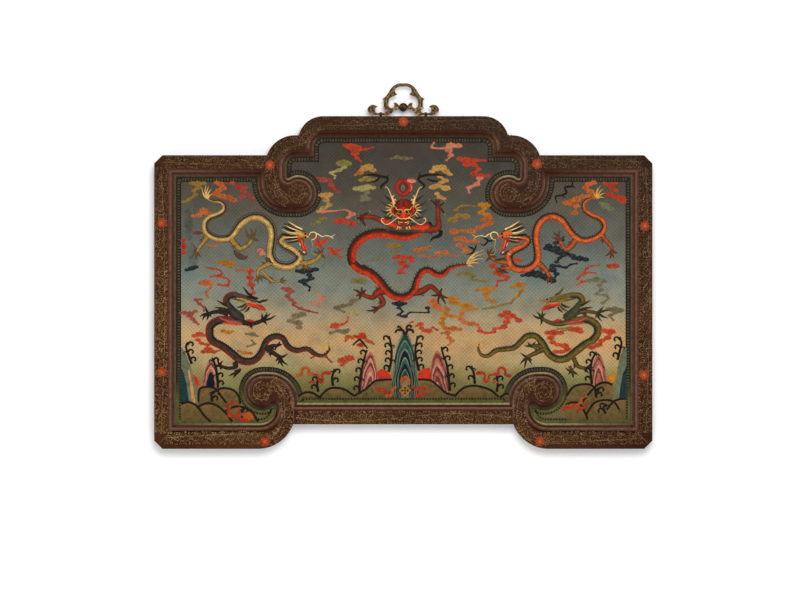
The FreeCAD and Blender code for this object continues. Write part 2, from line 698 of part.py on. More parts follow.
def hanger_eye(side):
    """Eye that clasps a foot's bar, with a neck down to its washer and a shank into the crest rail."""
    centre = eye_axis(side)
    start = centre - Vector(EYE_WIDTH / 2, 0, 0)
    ring = Part.makeCylinder(EYE_RADIUS, EYE_WIDTH, start, Vector(1, 0, 0))
    bore = Part.makeCylinder(EYE_BORE_RADIUS, EYE_WIDTH, start, Vector(1, 0, 0))
    neck_top = centre.z - (EYE_BORE_RADIUS + EYE_RADIUS) / 2
    neck_foot = CREST_Z + WASHER_THICKNESS
    neck = Part.makeCylinder(EYE_NECK_RADIUS, neck_top - neck_foot, Vector(centre.x, centre.y, neck_foot))
    shank_foot = CREST_Z - EYE_SHANK_LENGTH
    shank = Part.makeCylinder(EYE_SHANK_RADIUS, neck_top - shank_foot, Vector(centre.x, centre.y, shank_foot))
    return ring.fuse([neck, shank]).cut(bore).removeSplitter()


def eye_washer(side):
    foot = Vector(side * EYE_HALF, HANGER_Y, CREST_Z)
    disc = Part.makeCylinder(WASHER_RADIUS, WASHER_THICKNESS, foot)
    return disc.cut(Part.makeCylinder(EYE_SHANK_RADIUS + SHANK_CLEARANCE, WASHER_THICKNESS, foot))


def panel_nodes():
    scroll_joints, corner_joints = tenon_places()
    nodes = frame_members()
    nodes.update(core_boards())
    nodes["lacquer_ground"] = lacquer_ground()
    for node, batten in BATTENS.items():
        nodes[node] = batten_solid(batten)
    nodes["scroll_tenons"] = Part.makeCompound(tenons(scroll_joints))
    nodes["corner_tenons"] = Part.makeCompound(tenons(corner_joints))
    nodes["frame_pegs"] = Part.makeCompound(pegs(scroll_joints + corner_joints))
    nodes["hanger_loop"] = hanger_loop()
    nodes["hanger_boss"] = hanger_boss()
    nodes["boss_rove"] = boss_rove()
    for name, side in (("left", -1), ("right", 1)):
        nodes[f"{name}_hanger_eye"] = hanger_eye(side)
        nodes[f"{name}_eye_washer"] = eye_washer(side)
    return nodes


os.makedirs("parts", exist_ok=True)
for node, shape in panel_nodes().items():
    shape.exportStep(f"parts/{node}.step")
    print(node, len(shape.Solids), "solids, valid" if shape.isValid() else "solids, NOT VALID",
          round(shape.Volume / 1000, 2), "cm3")
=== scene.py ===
import bisect
import math
import random
from collections import namedtuple

import bmesh
import bpy
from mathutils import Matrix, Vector


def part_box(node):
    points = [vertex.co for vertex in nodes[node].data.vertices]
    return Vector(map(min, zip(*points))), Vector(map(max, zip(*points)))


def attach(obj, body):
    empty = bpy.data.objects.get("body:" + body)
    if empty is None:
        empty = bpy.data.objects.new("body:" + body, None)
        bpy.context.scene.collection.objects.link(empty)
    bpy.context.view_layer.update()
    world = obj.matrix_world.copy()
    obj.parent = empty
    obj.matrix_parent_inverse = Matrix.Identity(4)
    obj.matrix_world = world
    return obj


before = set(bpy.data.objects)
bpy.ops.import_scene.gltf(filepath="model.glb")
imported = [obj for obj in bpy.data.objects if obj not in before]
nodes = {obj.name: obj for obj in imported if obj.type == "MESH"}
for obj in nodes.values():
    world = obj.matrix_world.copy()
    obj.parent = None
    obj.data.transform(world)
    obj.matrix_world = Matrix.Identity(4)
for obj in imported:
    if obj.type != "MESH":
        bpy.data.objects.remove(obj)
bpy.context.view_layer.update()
random.seed(11)

# Levels and edges of the frame, in metres, in the part's own axes
FRONT_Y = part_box("crest_rail")[0].y
FIELD_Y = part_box("lacquer_ground")[0].y
CREST_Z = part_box("crest_rail")[1].z
SHOULDER_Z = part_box("right_shoulder_rail")[1].z
BASE_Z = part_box("right_stile")[0].z
RAIL_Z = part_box("bottom_rail")[0].z
HALF_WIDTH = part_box("right_stile")[1].x

# Frame section and sight edge, as in the solids
FLAT_WIDTH = 0.030
MOULDING_WIDTH = 0.017
BAND_WIDTH = FLAT_WIDTH + MOULDING_WIDTH
NOTCH_HALF = 0.230
NOTCH_DROP = 0.042
CUSP_INSET = 0.033
CREST_INNER_RADIUS = 0.020
THROAT_RADIUS = 0.003
BEAD_WIDTH = 0.005
BEAD_FOOT = 0.0025
BEAD_RISE = 0.002
HOLLOW_WIDTH = 0.004
HOLLOW_RISE = 0.0035
CUSHION_STEP = 0.001
FIELD_RECESS = FIELD_Y - FRONT_Y
CREST_SIGHT_Z = CREST_Z - BAND_WIDTH
CUSP_HALF = NOTCH_HALF - CUSP_INSET
CUSP_Z = CREST_Z - NOTCH_DROP - BAND_WIDTH
SHOULDER_SIGHT_Z = SHOULDER_Z - BAND_WIDTH
STILE_SIGHT_HALF = HALF_WIDTH - BAND_WIDTH
FOOT_SIGHT_Z = BASE_Z + BAND_WIDTH
RAIL_SIGHT_Z = RAIL_Z + BAND_WIDTH

Scroll = namedtuple("Scroll", "x z across along far neck lead bend reach head curl fillet")
SHOULDER_SCROLL = Scroll(0.322, SHOULDER_SIGHT_Z, -1, -1, SHOULDER_SIGHT_Z - CUSP_Z,
                         0.065, 0.014, 0.064, 0.025, 0.041, 0.032, 0.019)
FOOT_SCROLL = Scroll(0.230, RAIL_SIGHT_Z, 1, 1, FOOT_SIGHT_Z - RAIL_SIGHT_Z,
                     0.053, 0.002, 0.066, 0.027, 0.042, 0.032, 0.033)

# The photograph's scale on the panel
PIXEL = 0.0022
CENTRE_PX = (403.3, 282.5)
IMAGE_PX = (800, 600)

# Relief work
SINK = 0.00006          # how far a raised shape's foot goes into what carries it
LAYER = 0.00007         # rise of one coat of lacquer over the one below
CROWN = 0.00012
BLOB_SIDES = 18


def srgb(red, green, blue):
    """Linear colour of a screen colour."""
    def linear(value):
        share = value / 255
        return share / 12.92 if share <= 0.04045 else ((share + 0.055) / 1.055) ** 2.4
    return linear(red), linear(green), linear(blue)


TINTS = {
    "red": srgb(184, 47, 26), "crimson": srgb(152, 42, 34), "dark_red": srgb(104, 24, 16),
    "orange": srgb(192, 74, 24), "amber": srgb(190, 108, 12), "mustard": srgb(132, 98, 34),
    "tan": srgb(186, 130, 74), "pink": srgb(202, 108, 82), "pale": srgb(150, 134, 78),
    "olive": srgb(104, 92, 38), "sage": srgb(100, 97, 72), "grey": srgb(104, 89, 62),
    "navy": srgb(13, 24, 33), "brown": srgb(116, 64, 36), "black": srgb(26, 20, 14),
    "soot": srgb(44, 34, 22), "gold": srgb(206, 158, 70), "cream": srgb(222, 192, 132),
    "white": srgb(232, 220, 196), "yellow": srgb(208, 152, 66), "bark": srgb(84, 58, 38),
    "flame": srgb(204, 92, 46), "ember": srgb(224, 104, 48), "moss": srgb(72, 66, 34), "slate": srgb(66, 52, 46),
    "teal": srgb(26, 52, 50), "sea": srgb(42, 74, 68), "mist": srgb(106, 108, 82),
    "rose": srgb(156, 88, 70), "wine": srgb(98, 52, 42), "blush": srgb(180, 120, 100), "scarlet": srgb(226, 46, 30),
    "vermilion": srgb(196, 60, 26), "brick": srgb(134, 36, 19), "straw": srgb(158, 126, 74), "ochre": srgb(188, 144, 76),
    "pine": srgb(38, 52, 42), "hill": srgb(112, 86, 50),
    "hill_low": srgb(86, 74, 38), "gilt": srgb(138, 108, 64), "stone": srgb(100, 104, 80),
}


def shaded(tint, share):
    return tuple(value * share for value in tint)


def mixed(first, second, share):
    return tuple(a + (b - a) * share for a, b in zip(first, second))


# Curves of the front view, as points (x, z) and further values that are carried along

def smooth(points, step):
    """Points about step apart on a smooth curve through the given points."""
    found = []
    last = len(points) - 1
    for k in range(last):
        before, start, end, after = points[max(k - 1, 0)], points[k], points[k + 1], points[min(k + 2, last)]
        count = max(1, round(math.dist(start[:2], end[:2]) / step))
        for j in range(count):
            t = j / count
            found.append(tuple(
                0.5 * (2 * b + (c - a) * t + (2 * a - 5 * b + 4 * c - d) * t * t
                       + (3 * b - 3 * c + d - a) * t ** 3)
                for a, b, c, d in zip(before, start, end, after)
            ))
    found.append(tuple(points[-1]))
    return found


def arc(centre, radius, start, end, count):
    """Points on an arc between two angles in degrees, with both ends."""
    angles = [math.radians(start + (end - start) * k / count) for k in range(count + 1)]
    return [(centre[0] + radius * math.cos(a), centre[1] + radius * math.sin(a)) for a in angles]


def mirror(points):
    return [(-point[0], *point[1:]) for point in points]


class Track:
    """A path measured along its length, with places beside it."""

    def __init__(self, points):
        self.points = [Vector(p[:2]) for p in points]
        self.reached = [0.0]
        for a, b in zip(self.points, self.points[1:]):
            self.reached.append(self.reached[-1] + (b - a).length)
        self.length = self.reached[-1]

    def beside(self, distance, offset=0.0):
        """The place at a distance along the path, set to its left by offset."""
        distance = min(max(distance, 0.0), self.length)
        k = min(max(bisect.bisect_right(self.reached, distance) - 1, 0), len(self.points) - 2)
        a, b = self.points[k], self.points[k + 1]
        run = (b - a).normalized()
        place = a + run * (distance - self.reached[k])
        return place.x - run.y * offset, place.y + run.x * offset


# Raised work

class Relief:
    """Low raised shapes on an upright plane. Heights stand forward of it, and every point has a colour."""

    def __init__(self, plane_y):
        self.plane_y = plane_y
        self.points = []
        self.faces = []
        self.tints = []
        self.grain = []

    def add(self, x, z, height, tint, along=0.0, across=0.0):
        self.points.append((x, self.plane_y - height, z))
        self.tints.append((*tint, 1.0))
        self.grain.append((along, across))
        return len(self.points) - 1

    def bridge(self, first, second):
        """Faces between two closed rings of points."""
        count = len(first)
        for k in range(count):
            n = (k + 1) % count
            self.faces.append((first[k], first[n], second[n], second[k]))

    def close(self, ring):
        self.faces.append(tuple(ring))

    def stroke(self, path, lift, tints, crown=CROWN):
        """A raised line along (x, z, half width), coloured across from its left to its right."""
        if len(tints) == 1:
            tints = tints * 3
        rings = []
        along = 0.0
        last = len(path) - 1
        for k, (x, z, half) in enumerate(path):
            before, after = path[max(k - 1, 0)], path[min(k + 1, last)]
            dx, dz = after[0] - before[0], after[1] - before[1]
            length = math.hypot(dx, dz) or 1.0
            left = (-dz / length * half, dx / length * half)
            along += math.dist((x, z), before[:2]) if k else 0.0
            ring = [self.add(x + left[0], z + left[1], -SINK, tints[0], along, 1)]
            for j, tint in enumerate(tints):
                share = 1 - 2 * j / (len(tints) - 1)
                height = lift + crown * (1 - share * share)
                ring.append(self.add(x + left[0] * share, z + left[1] * share, height, tint, along, share))
            ring.append(self.add(x - left[0], z - left[1], -SINK, tints[-1], along, -1))
            rings.append(ring)
        for first, second in zip(rings, rings[1:]):
            self.bridge(first, second)
        self.close(rings[0])
        self.close(rings[-1])

    def wire(self, path, height, tint):
        """A thin ridge along (x, z, half width)."""
        rings = []
        last = len(path) - 1
        for k, (x, z, half) in enumerate(path):
            before, after = path[max(k - 1, 0)], path[min(k + 1, last)]
            dx, dz = after[0] - before[0], after[1] - before[1]
            length = math.hypot(dx, dz) or 1.0
            left = (-dz / length * half, dx / length * half)
            rings.append([
                self.add(x + left[0], z + left[1], -SINK, tint),
                self.add(x, z, height, tint),
                self.add(x - left[0], z - left[1], -SINK, tint),
            ])
        for first, second in zip(rings, rings[1:]):
            self.bridge(first, second)
        self.close(rings[0])
        self.close(rings[-1])

    def blob(self, x, z, across, up, lift, tints, lobes=0, lobe_depth=0.0, turn=0.0, sides=BLOB_SIDES):
        """A raised round or lobed spot, coloured from its middle out."""
        sides = max(sides, lobes * 6)
        rings = []
        for j, tint in enumerate(tints):
            share = (j + 1) / len(tints)
            height = lift + CROWN * (1 - share * share)
            ring = []
            for k in range(sides):
                angle = 2 * math.pi * k / sides
                reach = share * (1 + lobe_depth * math.cos(lobes * angle))
                dx, dz = across * reach * math.cos(angle), up * reach * math.sin(angle)
                ring.append(self.add(
                    x + dx * math.cos(turn) - dz * math.sin(turn),
                    z + dx * math.sin(turn) + dz * math.cos(turn), height, tint, reach, angle,
                ))
            rings.append(ring)
        foot = []
        for k in rings[-1]:
            px, py, pz = self.points[k]
            foot.append(self.add(px, pz, -SINK, tints[-1]))
        rings.append(foot)
        for first, second in zip(rings, rings[1:]):
            self.bridge(first, second)
        self.close(rings[0])
        self.close(foot)

    def plate(self, outline, lift, tint_at):
        """A flat raised shape, coloured by place."""
        top = [self.add(x, z, lift, tint_at(x, z), x, z) for x, z in outline]
        foot = [self.add(x, z, -SINK, tint_at(x, z), x, z) for x, z in outline]
        self.bridge(top, foot)
        self.close(top)
        self.close(foot)

    def build(self, name, material, slot, body="panel"):
        """Make the object, in its material, riding on a body."""
        mesh = bpy.data.meshes.new(name)
        mesh.from_pydata(self.points, [], self.faces)
        tint = mesh.color_attributes.new("tint", "FLOAT_COLOR", "POINT")
        tint.data.foreach_set("color", [value for colour in self.tints for value in colour])
        grain = mesh.uv_layers.new(name="grain")
        corners = [0] * len(mesh.loops)
        mesh.loops.foreach_get("vertex_index", corners)
        grain.data.foreach_set("uv", [value for k in corners for value in self.grain[k]])
        shell = bmesh.new()
        shell.from_mesh(mesh)
        bmesh.ops.recalc_face_normals(shell, faces=shell.faces)
        bmesh.ops.triangulate(shell, faces=[face for face in shell.faces if len(face.verts) > 4])
        shell.to_mesh(mesh)
        shell.free()
        mesh.shade_smooth()
        mesh.set_sharp_from_angle(angle=math.radians(50))
        return show(name, mesh, material, body)


def show(name, mesh, material, body):
    """Put a finished mesh in the scene as a piece of that body."""
    piece = bpy.data.objects.new(name, mesh)
    bpy.context.scene.collection.objects.link(piece)
    mesh.materials.append(material)
    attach(piece, body)
    return piece


def placed(pixels):
    """Points of the photograph, with half widths in pixels, as points of the panel."""
    return [
        ((px - CENTRE_PX[0]) * PIXEL, (CENTRE_PX[1] - py) * PIXEL, half * PIXEL)
        for px, py, half in pixels
    ]


def spot(px, py):
    """A point of the photograph as a point of the panel."""
    return (px - CENTRE_PX[0]) * PIXEL, (CENTRE_PX[1] - py) * PIXEL


def brush(relief, layer, tints, pixels, step=0.9):
    """A painted stroke through points (x, y, half width) of the photograph."""
    tints = [TINTS[tint] if isinstance(tint, str) else tint for tint in tints]
    path = smooth(placed(pixels), step * PIXEL)
    least = 0.08 * PIXEL
    path = [(x, z, max(half, least)) for x, z, half in path]
    relief.stroke(path, layer * LAYER, tints)


def dab(relief, layer, tints, px, py, across, up=None, **form):
    """A painted spot at a point of the photograph, with half sizes in pixels."""
    x, z = spot(px, py)
    tints = [TINTS[tint] if isinstance(tint, str) else tint for tint in tints]
    relief.blob(x, z, across * PIXEL, (up or across) * PIXEL, layer * LAYER, tints, **form)


# Materials

def feed(tree, socket, value):
    """Link a socket to another, or set its value."""
    if isinstance(value, bpy.types.NodeSocket):
        tree.links.new(value, socket)
    else:
        socket.default_value = value


def node(tree, kind, settings=(), **inputs):
    made = tree.nodes.new(kind)
    for name, value in dict(settings).items():
        setattr(made, name, value)
    for name, value in inputs.items():
        feed(tree, made.inputs[name.replace("_", " ")], value)
    return made


def blended(tree, factor, first, second, way="MIX"):
    """Colour mix of two sockets or colours."""
    made = tree.nodes.new("ShaderNodeMix")
    made.data_type = "RGBA"
    made.blend_type = way
    feed(tree, made.inputs[0], factor)
    feed(tree, made.inputs[6], first)
    feed(tree, made.inputs[7], second)
    return made.outputs[2]


def ramp(tree, factor, stops):
    """Colours by place along a factor, from (place, colour) pairs."""
    made = tree.nodes.new("ShaderNodeValToRGB")
    feed(tree, made.inputs["Fac"], factor)
    elements = made.color_ramp.elements
    while len(elements) < len(stops):
        elements.new(0.5)
    for element, (place, colour) in zip(elements, stops):
        element.position = place
        element.color = (*colour, 1.0)
    return made.outputs["Color"]


def greys(tree, factor, *stops):
    return ramp(tree, factor, [(place, (value, value, value)) for place, value in stops])


def object_place(tree):
    return node(tree, "ShaderNodeTexCoord").outputs["Object"]


def noise(tree, place, scale, detail=4.0, roughness=0.55):
    made = node(tree, "ShaderNodeTexNoise", Vector=place, Scale=scale, Detail=detail, Roughness=roughness)
    return made.outputs["Fac"]


def bump(tree, height, strength, distance):
    made = node(tree, "ShaderNodeBump", Height=height, Strength=strength, Distance=distance)
    return made.outputs["Normal"]


def material(name, **constants):
    """A new node material, its tree and its main shader."""
    made = bpy.data.materials.new(name)
    made.use_nodes = True
    tree = made.node_tree
    shader = tree.nodes["Principled BSDF"]
    for socket, value in constants.items():
        shader.inputs[socket.replace("_", " ")].default_value = value
    return made, tree, shader


def outer_edges(tree, radius):
    """A mask of the outer edges: where the frame's lacquer is worn and carries a painted highlight, and where the
    bronze gets painted shade.
    """
    rounded = node(tree, "ShaderNodeBevel", {"samples": 6}, Radius=radius).outputs["Normal"]
    flat = node(tree, "ShaderNodeNewGeometry").outputs["Normal"]
    match = node(tree, "ShaderNodeVectorMath", {"operation": "DOT_PRODUCT"})
    feed(tree, match.inputs[0], rounded)
    feed(tree, match.inputs[1], flat)
    return greys(tree, match.outputs["Value"], (0.80, 1.0), (0.985, 0.0))


def darker_upwards_shaded_right(tree, place, colour):
    """The frame's colour darkens towards its head, and a painted falloff of light makes its left side lighter and its
    right side darker.
    """
    rise = node(tree, "ShaderNodeSeparateXYZ", Vector=place).outputs["Z"]
    share = node(tree, "ShaderNodeMapRange", Value=rise, From_Min=-0.05, From_Max=CREST_Z, To_Min=0.57, To_Max=0.28)
    dimmed = blended(tree, 1.0, colour, share.outputs[0], "MULTIPLY")
    # Painted light and shade: lighter on the left, painted shade towards the right
    across = node(tree, "ShaderNodeSeparateXYZ", Vector=place).outputs["X"]
    side = node(tree, "ShaderNodeMapRange", Value=across, From_Min=-HALF_WIDTH, From_Max=HALF_WIDTH, To_Min=1.20,
                To_Max=0.88)
    return blended(tree, 1.0, dimmed, side.outputs[0], "MULTIPLY")


def frame_lacquer():
    """Purple-brown lacquer: cloudy, rubbed lighter on its edges with a painted highlight there too, and fine dents;
    darker towards its head, with painted shade towards its right.
    """
    made, tree, shader = material("frame_lacquer", Specular_IOR_Level=0.04)
    place = object_place(tree)
    cloud = noise(tree, place, 9.0, 6.0)
    fine = noise(tree, place, 260.0, 3.0)
    base = ramp(tree, cloud, [
        (0.30, srgb(56, 23, 6)), (0.48, srgb(66, 31, 10)), (0.62, srgb(80, 44, 18)), (0.75, srgb(60, 26, 7)),
    ])
    base = blended(tree, greys(tree, fine, (0.42, 0.0), (0.80, 0.30)), base, (*srgb(112, 78, 50), 1))
    # Outer edges, lighter in patches: wear together with a painted highlight
    rubbed_and_highlit = node(tree, "ShaderNodeMath", {"operation": "MULTIPLY"})
    feed(tree, rubbed_and_highlit.inputs[0], outer_edges(tree, 0.0016))
    feed(tree, rubbed_and_highlit.inputs[1], greys(tree, noise(tree, place, 42.0, 5.0), (0.36, 0.05), (0.64, 0.75)))
    base = blended(tree, rubbed_and_highlit.outputs[0], base, (*srgb(128, 96, 76), 1))
    feed(tree, shader.inputs["Base Color"], darker_upwards_shaded_right(tree, place, base))
    feed(tree, shader.inputs["Roughness"], greys(tree, cloud, (0.3, 0.36), (0.7, 0.52)))
    feed(tree, shader.inputs["Normal"], bump(tree, fine, 0.25, 0.0004))
    return made


FIELD_LOW_Z = RAIL_SIGHT_Z - 0.054
FIELD_HIGH_Z = CREST_SIGHT_Z
# Colours of the painted ground, from the photograph's row in pixels
FIELD_ROWS = [
    (137, srgb(60, 52, 43)), (155, srgb(62, 55, 45)), (172, srgb(66, 61, 51)), (190, srgb(75, 70, 59)),
    (212, srgb(82, 79, 67)), (236, srgb(90, 92, 83)), (258, srgb(100, 105, 95)), (276, srgb(112, 118, 106)),
    (292, srgb(124, 127, 112)), (306, srgb(138, 132, 108)), (320, srgb(168, 146, 111)),
    (335, srgb(182, 148, 101)), (350, srgb(184, 148, 101)), (363, srgb(168, 147, 102)),
    (376, srgb(134, 124, 76)), (390, srgb(106, 98, 54)), (424, srgb(96, 84, 50)),
]


def field_colour(tree, place):
    """The ground's colour by height, with a soft uneven edge between tones."""
    rise = node(tree, "ShaderNodeSeparateXYZ", Vector=place).outputs["Z"]
    uneven = node(tree, "ShaderNodeMapRange", Value=noise(tree, place, 5.0, 5.0), To_Min=-0.035, To_Max=0.035)
    level = node(tree, "ShaderNodeMath", {"operation": "ADD"})
    feed(tree, level.inputs[0], rise)
    feed(tree, level.inputs[1], uneven.outputs[0])
    share = node(tree, "ShaderNodeMapRange", Value=level.outputs[0], From_Min=FIELD_LOW_Z, From_Max=FIELD_HIGH_Z)
    span = FIELD_HIGH_Z - FIELD_LOW_Z
    stops = [((spot(0, row)[1] - FIELD_LOW_Z) / span, colour) for row, colour in reversed(FIELD_ROWS)]
    stops = [(min(max(place_share, 0.0), 1.0), colour) for place_share, colour in stops]
    return ramp(tree, share.outputs[0], stops)


def field_lacquer(name, shade):
    """Painted ground in bands of colour, cloudy with age, under a worn coat."""
    made, tree, shader = material(name, Specular_IOR_Level=0.08)
    place = object_place(tree)
    base = field_colour(tree, place)
    stain = greys(tree, noise(tree, place, 26.0, 6.0, 0.62), (0.30, 0.78 * shade), (0.55, 1.0 * shade), (0.80, 1.10 * shade))
    base = blended(tree, 1.0, base, stain, "MULTIPLY")
    patch = ramp(tree, noise(tree, place, 17.0, 5.0, 0.6), [
        (0.32, (0.82, 0.95, 1.05)), (0.47, (1.0, 1.0, 1.0)), (0.64, (0.99, 0.91, 0.82)),
    ])
    base = blended(tree, 1.0, base, patch, "MULTIPLY")
    speck = greys(tree, noise(tree, place, 420.0, 2.0), (0.35, 0.86), (0.7, 1.08))
    base = blended(tree, 1.0, base, speck, "MULTIPLY")
    across = node(tree, "ShaderNodeMath", {"operation": "ABSOLUTE"})
    feed(tree, across.inputs[0], node(tree, "ShaderNodeSeparateXYZ", Vector=place).outputs["X"])
    sides = node(tree, "ShaderNodeMapRange", Value=across.outputs[0], From_Max=STILE_SIGHT_HALF, To_Min=0.92, To_Max=1.10)
    base = blended(tree, 1.0, base, sides.outputs[0], "MULTIPLY")
    feed(tree, shader.inputs["Base Color"], base)
    feed(tree, shader.inputs["Roughness"], greys(tree, noise(tree, place, 14.0), (0.3, 0.46), (0.7, 0.62)))
    feed(tree, shader.inputs["Normal"], bump(tree, noise(tree, place, 300.0, 3.0), 0.18, 0.0003))
    return made


def painted(name, scales=False, worn=False):
    """Coloured lacquer in each point's tint, mottled: scaled on a dragon's body, worn through on a cloud."""
    made, tree, shader = material(name, Specular_IOR_Level=0.04)
    place = object_place(tree)
    base = node(tree, "ShaderNodeAttribute", {"attribute_name": "tint"}).outputs["Color"]
    mottle = greys(tree, noise(tree, place, 120.0, 5.0, 0.6), (0.30, 0.48), (0.50, 0.82), (0.72, 1.02))
    base = blended(tree, 1.0, base, mottle, "MULTIPLY")
    if worn:
        thin = greys(tree, noise(tree, place, 210.0, 6.0, 0.72), (0.34, 0.30), (0.44, 0.08), (0.54, 0.0))
        base = blended(tree, thin, base, field_colour(tree, place))
    if scales:
        grain = node(tree, "ShaderNodeUVMap", {"uv_map": "grain"}).outputs["UV"]
        stretched = node(tree, "ShaderNodeMapping", Vector=grain, Scale=(420.0, 2.6, 1.0)).outputs["Vector"]
        cells = node(tree, "ShaderNodeTexVoronoi", {"feature": "DISTANCE_TO_EDGE"}, Vector=stretched, Scale=1.0)
        line = greys(tree, cells.outputs["Distance"], (0.02, 0.50), (0.20, 1.0))
        base = blended(tree, 1.0, base, line, "MULTIPLY")
        brushed = greys(tree, noise(tree, place, 380.0, 3.0, 0.6), (0.34, 0.72), (0.62, 1.18))
        base = blended(tree, 1.0, base, brushed, "MULTIPLY")
    feed(tree, shader.inputs["Base Color"], base)
    feed(tree, shader.inputs["Roughness"], greys(tree, noise(tree, place, 60.0), (0.3, 0.42), (0.7, 0.60)))
    feed(tree, shader.inputs["Normal"], bump(tree, noise(tree, place, 500.0, 3.0), 0.15, 0.0002))
    return made


def gilding():
    """Thin worn gilding over brown lacquer."""
    made, tree, shader = material("gilding", Metallic=0.1, Specular_IOR_Level=0.05)
    place = object_place(tree)
    wear = noise(tree, place, 55.0, 6.0, 0.65)
    base = ramp(tree, wear, [
        (0.30, srgb(98, 66, 42)), (0.46, srgb(148, 114, 74)), (0.62, srgb(190, 154, 106)), (0.80, srgb(124, 90, 58)),
    ])
    # Darker towards the head, with painted shade towards the right side
    feed(tree, shader.inputs["Base Color"], darker_upwards_shaded_right(tree, place, base))
    feed(tree, shader.inputs["Roughness"], greys(tree, wear, (0.3, 0.58), (0.7, 0.40)))
    feed(tree, shader.inputs["Normal"], bump(tree, noise(tree, place, 700.0), 0.2, 0.0002))
    return made


def gilt_bronze(name, tinted):
    """Cast bronze with worn gilding and a dark patina, which chased work takes from its own tint, and painted shade
    along its outer edges.
    """
    made, tree, shader = material(name, Metallic=0.85)
    place = object_place(tree)
    wear = noise(tree, place, 170.0, 6.0, 0.6)
    base = ramp(tree, wear, [
        (0.30, srgb(8, 5, 3)), (0.44, srgb(26, 15, 7)), (0.55, srgb(70, 47, 24)), (0.65, srgb(102, 76, 43)),
        (0.80, srgb(24, 15, 8)),
    ])
    if tinted:
        tint = node(tree, "ShaderNodeAttribute", {"attribute_name": "tint"}).outputs["Color"]
        base = blended(tree, 0.55, base, tint)
    # Painted shade: darker along the outer edges
    base = blended(tree, outer_edges(tree, 0.0007), base, (*srgb(38, 25, 13), 1))
    feed(tree, shader.inputs["Base Color"], base)
    feed(tree, shader.inputs["Roughness"], greys(tree, wear, (0.3, 0.52), (0.7, 0.34)))
    feed(tree, shader.inputs["Normal"], bump(tree, noise(tree, place, 420.0), 0.3, 0.0004))
    return made


def wood(name, stretch, dark, light):
    """Old timber with its grain along the axis that is stretched least."""
    made, tree, shader = material(name, Specular_IOR_Level=0.2)
    place = node(tree, "ShaderNodeMapping", Vector=object_place(tree), Scale=stretch).outputs["Vector"]
    rings = noise(tree, place, 2.6, 5.0, 0.55)
    fibre = noise(tree, place, 9.0, 6.0, 0.65)
    base = ramp(tree, rings, [
        (0.30, dark), (0.40, light), (0.47, mixed(dark, light, 0.35)), (0.55, light), (0.62, dark), (0.72, light),
    ])
    base = blended(tree, 1.0, base, greys(tree, fibre, (0.25, 0.62), (0.75, 1.12)), "MULTIPLY")
    feed(tree, shader.inputs["Base Color"], base)
    feed(tree, shader.inputs["Roughness"], greys(tree, fibre, (0.3, 0.62), (0.7, 0.82)))
    feed(tree, shader.inputs["Normal"], bump(tree, fibre, 0.35, 0.0006))
    return made


FRAME_LACQUER = frame_lacquer()
FIELD_LACQUER = field_lacquer("field_lacquer", 0.90)
HATCH_LACQUER = field_lacquer("hatch_lacquer", 0.50)
PAINT = painted("coloured_lacquer")
WORN_PAINT = painted("worn_lacquer", worn=True)
SCALED_PAINT = painted("scaled_lacquer", scales=True)
GILDING = gilding()
BRONZE = gilt_bronze("gilt_bronze", False)
CHASED_BRONZE = gilt_bronze("chased_bronze", True)
BOARD_WOOD = wood("board_wood", (1.6, 24.0, 24.0), srgb(92, 64, 42), srgb(136, 102, 68))
DARK_BOARD_WOOD = wood("dark_board_wood", (1.3, 27.0, 27.0), srgb(82, 56, 36), srgb(120, 88, 58))
PALE_BOARD_WOOD = wood("pale_board_wood", (1.9, 21.0, 21.0), srgb(100, 72, 47), srgb(146, 112, 76))
BATTEN_WOOD = wood("batten_wood", (30.0, 30.0, 2.0), srgb(70, 46, 30), srgb(108, 76, 50))
PEG_WOOD = wood("peg_wood", (60.0, 6.0, 60.0), srgb(110, 80, 50), srgb(150, 116, 76))

NODE_MATERIALS = [
    (FRAME_LACQUER, ("rail", "scroll", "stile")), (FIELD_LACQUER, ("lacquer_ground",)),
    (BOARD_WOOD, ("core_board",)), (DARK_BOARD_WOOD, ("core_board_2", "core_board_5")),
    (PALE_BOARD_WOOD, ("core_board_4",)), (BATTEN_WOOD, ("batten",)), (PEG_WOOD, ("tenons", "pegs")),
    (BRONZE, ("hanger", "boss", "washer")),
]


def dress_solids():
    """Give every solid of the frame its finish."""
    for name, solid in nodes.items():
        finish = [made for made, words in NODE_MATERIALS if any(word in name for word in words)][-1]
        solid.data.materials.clear()
        solid.data.materials.append(finish)


# Sight edge of the frame

def scroll_points(scroll, inset):
    """A scroll's sight edge, set into the frame by inset, from its outer corner to the far rail."""
    tip = scroll.lead + scroll.bend
    head_across = scroll.neck + scroll.reach
    curl_centre = (head_across, tip - 2 * scroll.head + scroll.curl)
    curl_radius = scroll.curl - inset
    throat_reach = scroll.reach - THROAT_RADIUS
    throat_lift = math.sqrt((scroll.curl + THROAT_RADIUS) ** 2 - throat_reach ** 2)
    throat_angle = math.degrees(math.atan2(throat_lift, throat_reach))
    neck_across = scroll.neck - inset
    if inset > -THROAT_RADIUS:
        throat_centre = (scroll.neck + THROAT_RADIUS, curl_centre[1] - throat_lift)
        throat = arc(throat_centre, THROAT_RADIUS + inset, throat_angle, 180, 4)
        curl_end = 180 + throat_angle
    else:
        reach = head_across - neck_across
        drop = math.sqrt(curl_radius ** 2 - reach ** 2)
        throat = [(neck_across, curl_centre[1] - drop)] * 5
        curl_end = 180 + math.degrees(math.atan2(drop, reach))
    fillet_centre = (scroll.neck + scroll.fillet, scroll.far + scroll.fillet)
    local = [(inset, -inset)]
    local += arc((scroll.bend, scroll.lead), scroll.bend - inset, 180, 90, 14)
    local += arc((head_across, tip - scroll.head), scroll.head - inset, 90, -90, 24)
    local += arc(curl_centre, curl_radius, 270, curl_end, 12)[1:]
    local += throat[1:]
    local += arc(fillet_centre, scroll.fillet + inset, 180, 270, 10)
    return [(scroll.x + scroll.across * u, scroll.z + scroll.along * v) for u, v in local]


